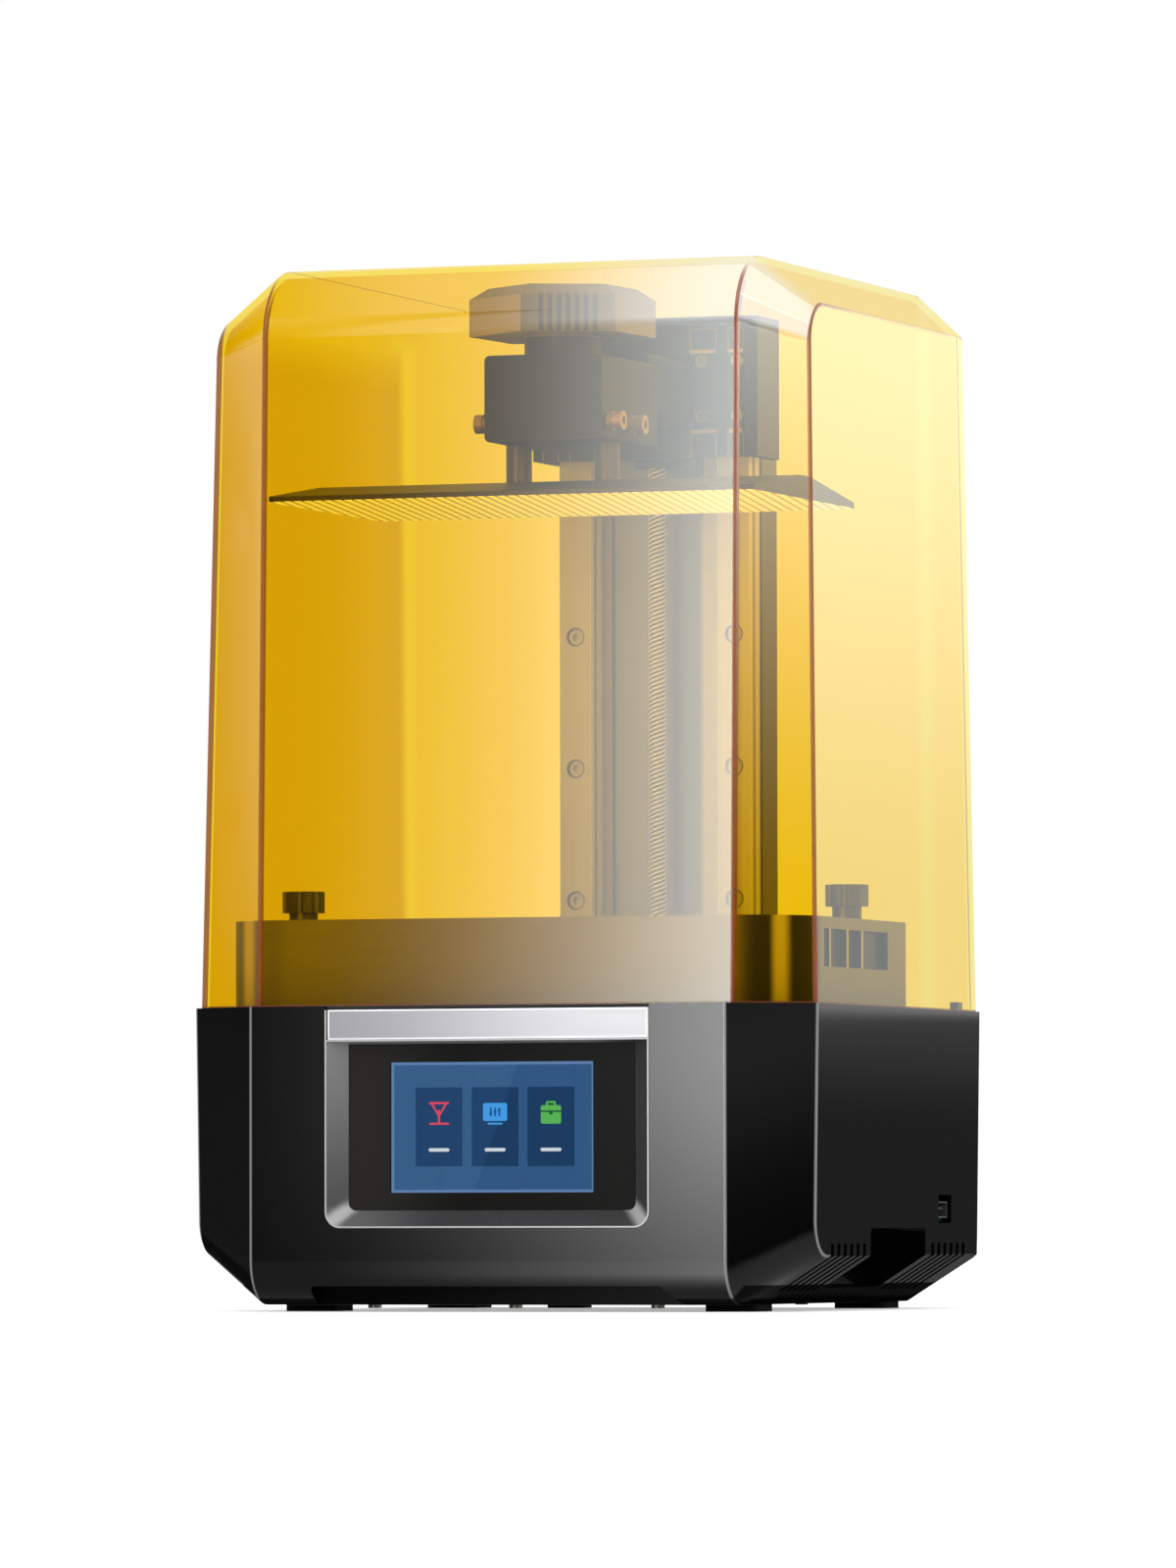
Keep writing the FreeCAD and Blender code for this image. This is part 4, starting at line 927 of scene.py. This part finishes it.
def floor_sheet():
    """Pale floor; a little light of its own, for the eye only, brings it near the background."""
    finish = Finish("floor_white", Specular_IOR_Level=0.0, Roughness=1.0, Emission_Strength=0.42)
    cloud = finish.noise(3, 2.0)
    finish.paint("Emission Color", finish.node("ShaderNodeLightPath", out="Is Camera Ray"))
    white = finish.mix(cloud, (0.985, 0.985, 0.985, 1), (0.995, 0.995, 0.995, 1))
    finish.paint("Base Color", white)
    reach = 14.0
    floor = flat_sheet("floor", level_corners((-reach, reach), (-reach, reach), 0), finish)
    floor.visible_glossy = False


def top_light():
    """Weak square lamp above and before the object."""
    lamp = bpy.data.lights.new("top_light", "AREA")
    lamp.size = 1.4
    lamp.energy = 2.0
    holder = bpy.data.objects.new("top_light", lamp)
    holder.location = (0.3, -0.5, 1.9)
    aim = Vector((0, 0, 0.2)) - holder.location
    holder.rotation_euler = aim.to_track_quat("-Z", "Y").to_euler()
    bpy.context.scene.collection.objects.link(holder)


def camera_view():
    """Camera at the photograph's place: yaw, pitch and roll in degrees about the aimed point."""
    yaw, pitch, roll = math.radians(20.099), math.radians(-2.327), math.radians(-0.1116)
    aimed = Vector((-1.814, 0, 234.39)) * MM
    distance = 4786.56 * MM
    focal_pixels, picture_pixels, sensor = 10939.3, 1600, 36
    flat = math.cos(pitch)
    back = Vector((math.sin(yaw) * flat, -math.cos(yaw) * flat, math.sin(pitch)))
    right = Vector((math.cos(yaw), math.sin(yaw), 0))
    up = back.cross(right)
    level = right
    right = level * math.cos(roll) + up * math.sin(roll)
    up = up * math.cos(roll) - level * math.sin(roll)
    lens = bpy.data.cameras.new("photo_view")
    lens.lens = focal_pixels / picture_pixels * sensor
    lens.sensor_width = sensor
    lens.clip_end = 100
    camera = bpy.data.objects.new("photo_view", lens)
    turn = Matrix((right, up, back)).transposed().to_4x4()
    camera.matrix_world = Matrix.Translation(aimed + back * distance) @ turn
    bpy.context.scene.collection.objects.link(camera)
    bpy.context.scene.camera = camera


# Finishes of the nodes

METALS = (
    # name, two near colours, roughness, stretch of the tool marks, metallic, nodes
    ("screw_steel", (150, 146, 140), (186, 182, 175), (0.25, 0.4), (1, 1, 0.03), 0.9,
     ("base_screws", "fan_screws", "carriage_screws", "film_screws")),
    ("shaft_steel", (168, 160, 148), (200, 192, 180), (0.22, 0.36), (1, 1, 0.2), 0.9,
     ("motor_shaft",)),
    ("arm_metal", (15, 14, 12), (25, 23, 20), (0.5, 0.62), (0.05, 1, 1), 0.1,
     ("plate_arm", "plate_bracket", "drive_nut")),
    ("rail_screw_steel", (170, 162, 150), (196, 188, 174), (0.3, 0.4), (1, 1, 1), 0.2,
     ("rail_screws",)),
    ("levelling_brass", (150, 122, 80), (178, 148, 100), (0.3, 0.42), (0.05, 1, 1), 0.3,
     ("levelling_screws",)),
    ("light_box_metal", (150, 150, 150), (176, 176, 176), (0.4, 0.5), (1, 1, 1), 0.4,
     ("light_box",)),
    ("sink_metal", (160, 160, 162), (190, 190, 192), (0.35, 0.5), (1, 0.03, 1), 0.9,
     ("heat_sink",)),
    ("brass", (190, 146, 70), (214, 170, 90), (0.25, 0.38), (1, 1, 0.03), 0.9,
     ("board_standoffs", "inlet_pin")),
    ("motor_metal", (34, 34, 35), (48, 48, 49), (0.35, 0.5), (1, 1, 0.05), 0.4,
     ("z_motor",)),
    ("coupling_metal", (170, 170, 172), (196, 196, 198), (0.3, 0.42), (0.05, 0.05, 1), 0.9,
     ("shaft_coupling",)),
    ("post_steel", (84, 76, 62), (106, 96, 80), (0.3, 0.42), (0.05, 0.05, 1), 0.4,
     ("plate_posts",)),
    ("film_frame_metal", (140, 140, 140), (166, 166, 166), (0.35, 0.45), (1, 1, 1), 0.9,
     ("film_frame",)),
    ("thumb_metal", (96, 92, 88), (118, 114, 108), (0.32, 0.45), (1, 1, 0.05), 0.7,
     ("thumb_screw_left", "thumb_screw_right")),
)

PLASTICS = (
    # name, two near colours, roughness, nodes
    ("panel_dark", (14, 14, 17), (22, 22, 26), (0.12, 0.2), ("lcd_panel",)),
    ("fan_plastic", (18, 18, 19), (28, 28, 29), (0.4, 0.5), ("fan_frame", "fan_rotor")),
    ("connector_plastic", (15, 15, 16), (24, 24, 25), (0.25, 0.35),
     ("dc_inlet", "switch_body", "limit_switch")),
    ("rocker_plastic", (20, 20, 21), (30, 30, 31), (0.3, 0.4), ("switch_rocker",)),
)

for *look, names in METALS:
    dress(machined(*look), *names)
for *look, names in PLASTICS:
    dress(plain_plastic(*look), *names)

dress(base_moulding(), "base_shell", "cover_locators")
dress(sheet_black(), "bottom_plate", "rear_panel", "deck_plate", "motor_bracket")
dress(foot_rubber(), "feet")
dress(bezel_paint_and_shade(), "front_bezel")
dress(trim_metal(), "trim_strip")
dress(touch_glass(), "touch_glass")
dress(display_picture(), "display")
dress(circuit_board(), "display_board", "led_board", "mainboard", "usb_board")
dress(usb_metal(), "usb_socket")
dress(clear_sheet("screen_glass", (0.9, 0.93, 0.95, 1)), "screen_glass")
dress(clear_sheet("lens_clear", (0.95, 0.97, 0.98, 1)), "light_lens")
dress(clear_sheet("film_clear", (0.93, 0.95, 0.96, 1)), "vat_film")
dress(column_metal(), "column")
dress(rail_steel(), "guide_rails", "rail_sliders")
dress(carriage_metal(), "carriage", "limit_flag")
dress(knob_plastic(), "clamp_knob")
dress(plate_metal(), "build_plate")
dress(vat_metal(), "vat_body")
dress(amber_cover(), "cover")
screw_thread(thread_steel())

# Light and camera

world_light()
floor_sheet()
top_light()
softbox("key_softbox", (-0.7, KEY_Y), (-0.05, KEY_Y), 0.0, CEILING_Z, key_light)
softbox("fill_softbox", (0.66, -1.2), (1.3, -0.66), 0.04, CEILING_Z, fill_light)
softbox("low_flag", (-0.02, 0.43), (0.6, 0.21), 0.0, 0.134, low_light)
softbox("left_softbox", (-1.2, -0.6), (-1.2, 0.0), 0.16, 0.9, left_light)
light_sheet("top_softbox", level_corners((-0.9, 1.3), (KEY_Y, 0.7), CEILING_Z), top_glow)
light_sheet("floor_softbox", level_corners((-0.2, 0.112), (-0.9, -0.118), FLOOR_Z), floor_glow)
light_sheet("side_softbox", level_corners((0.112, 0.3), (-0.17, 0.3), FLOOR_Z), side_glow)
softbox("rim_softbox", (0.2, 1.27), (0.95, 1.0), 0.15, 0.95, rim_light)
camera_view()
scene = bpy.context.scene
scene.view_settings.view_transform = "Standard"
scene.cycles.transparent_max_bounces = 32
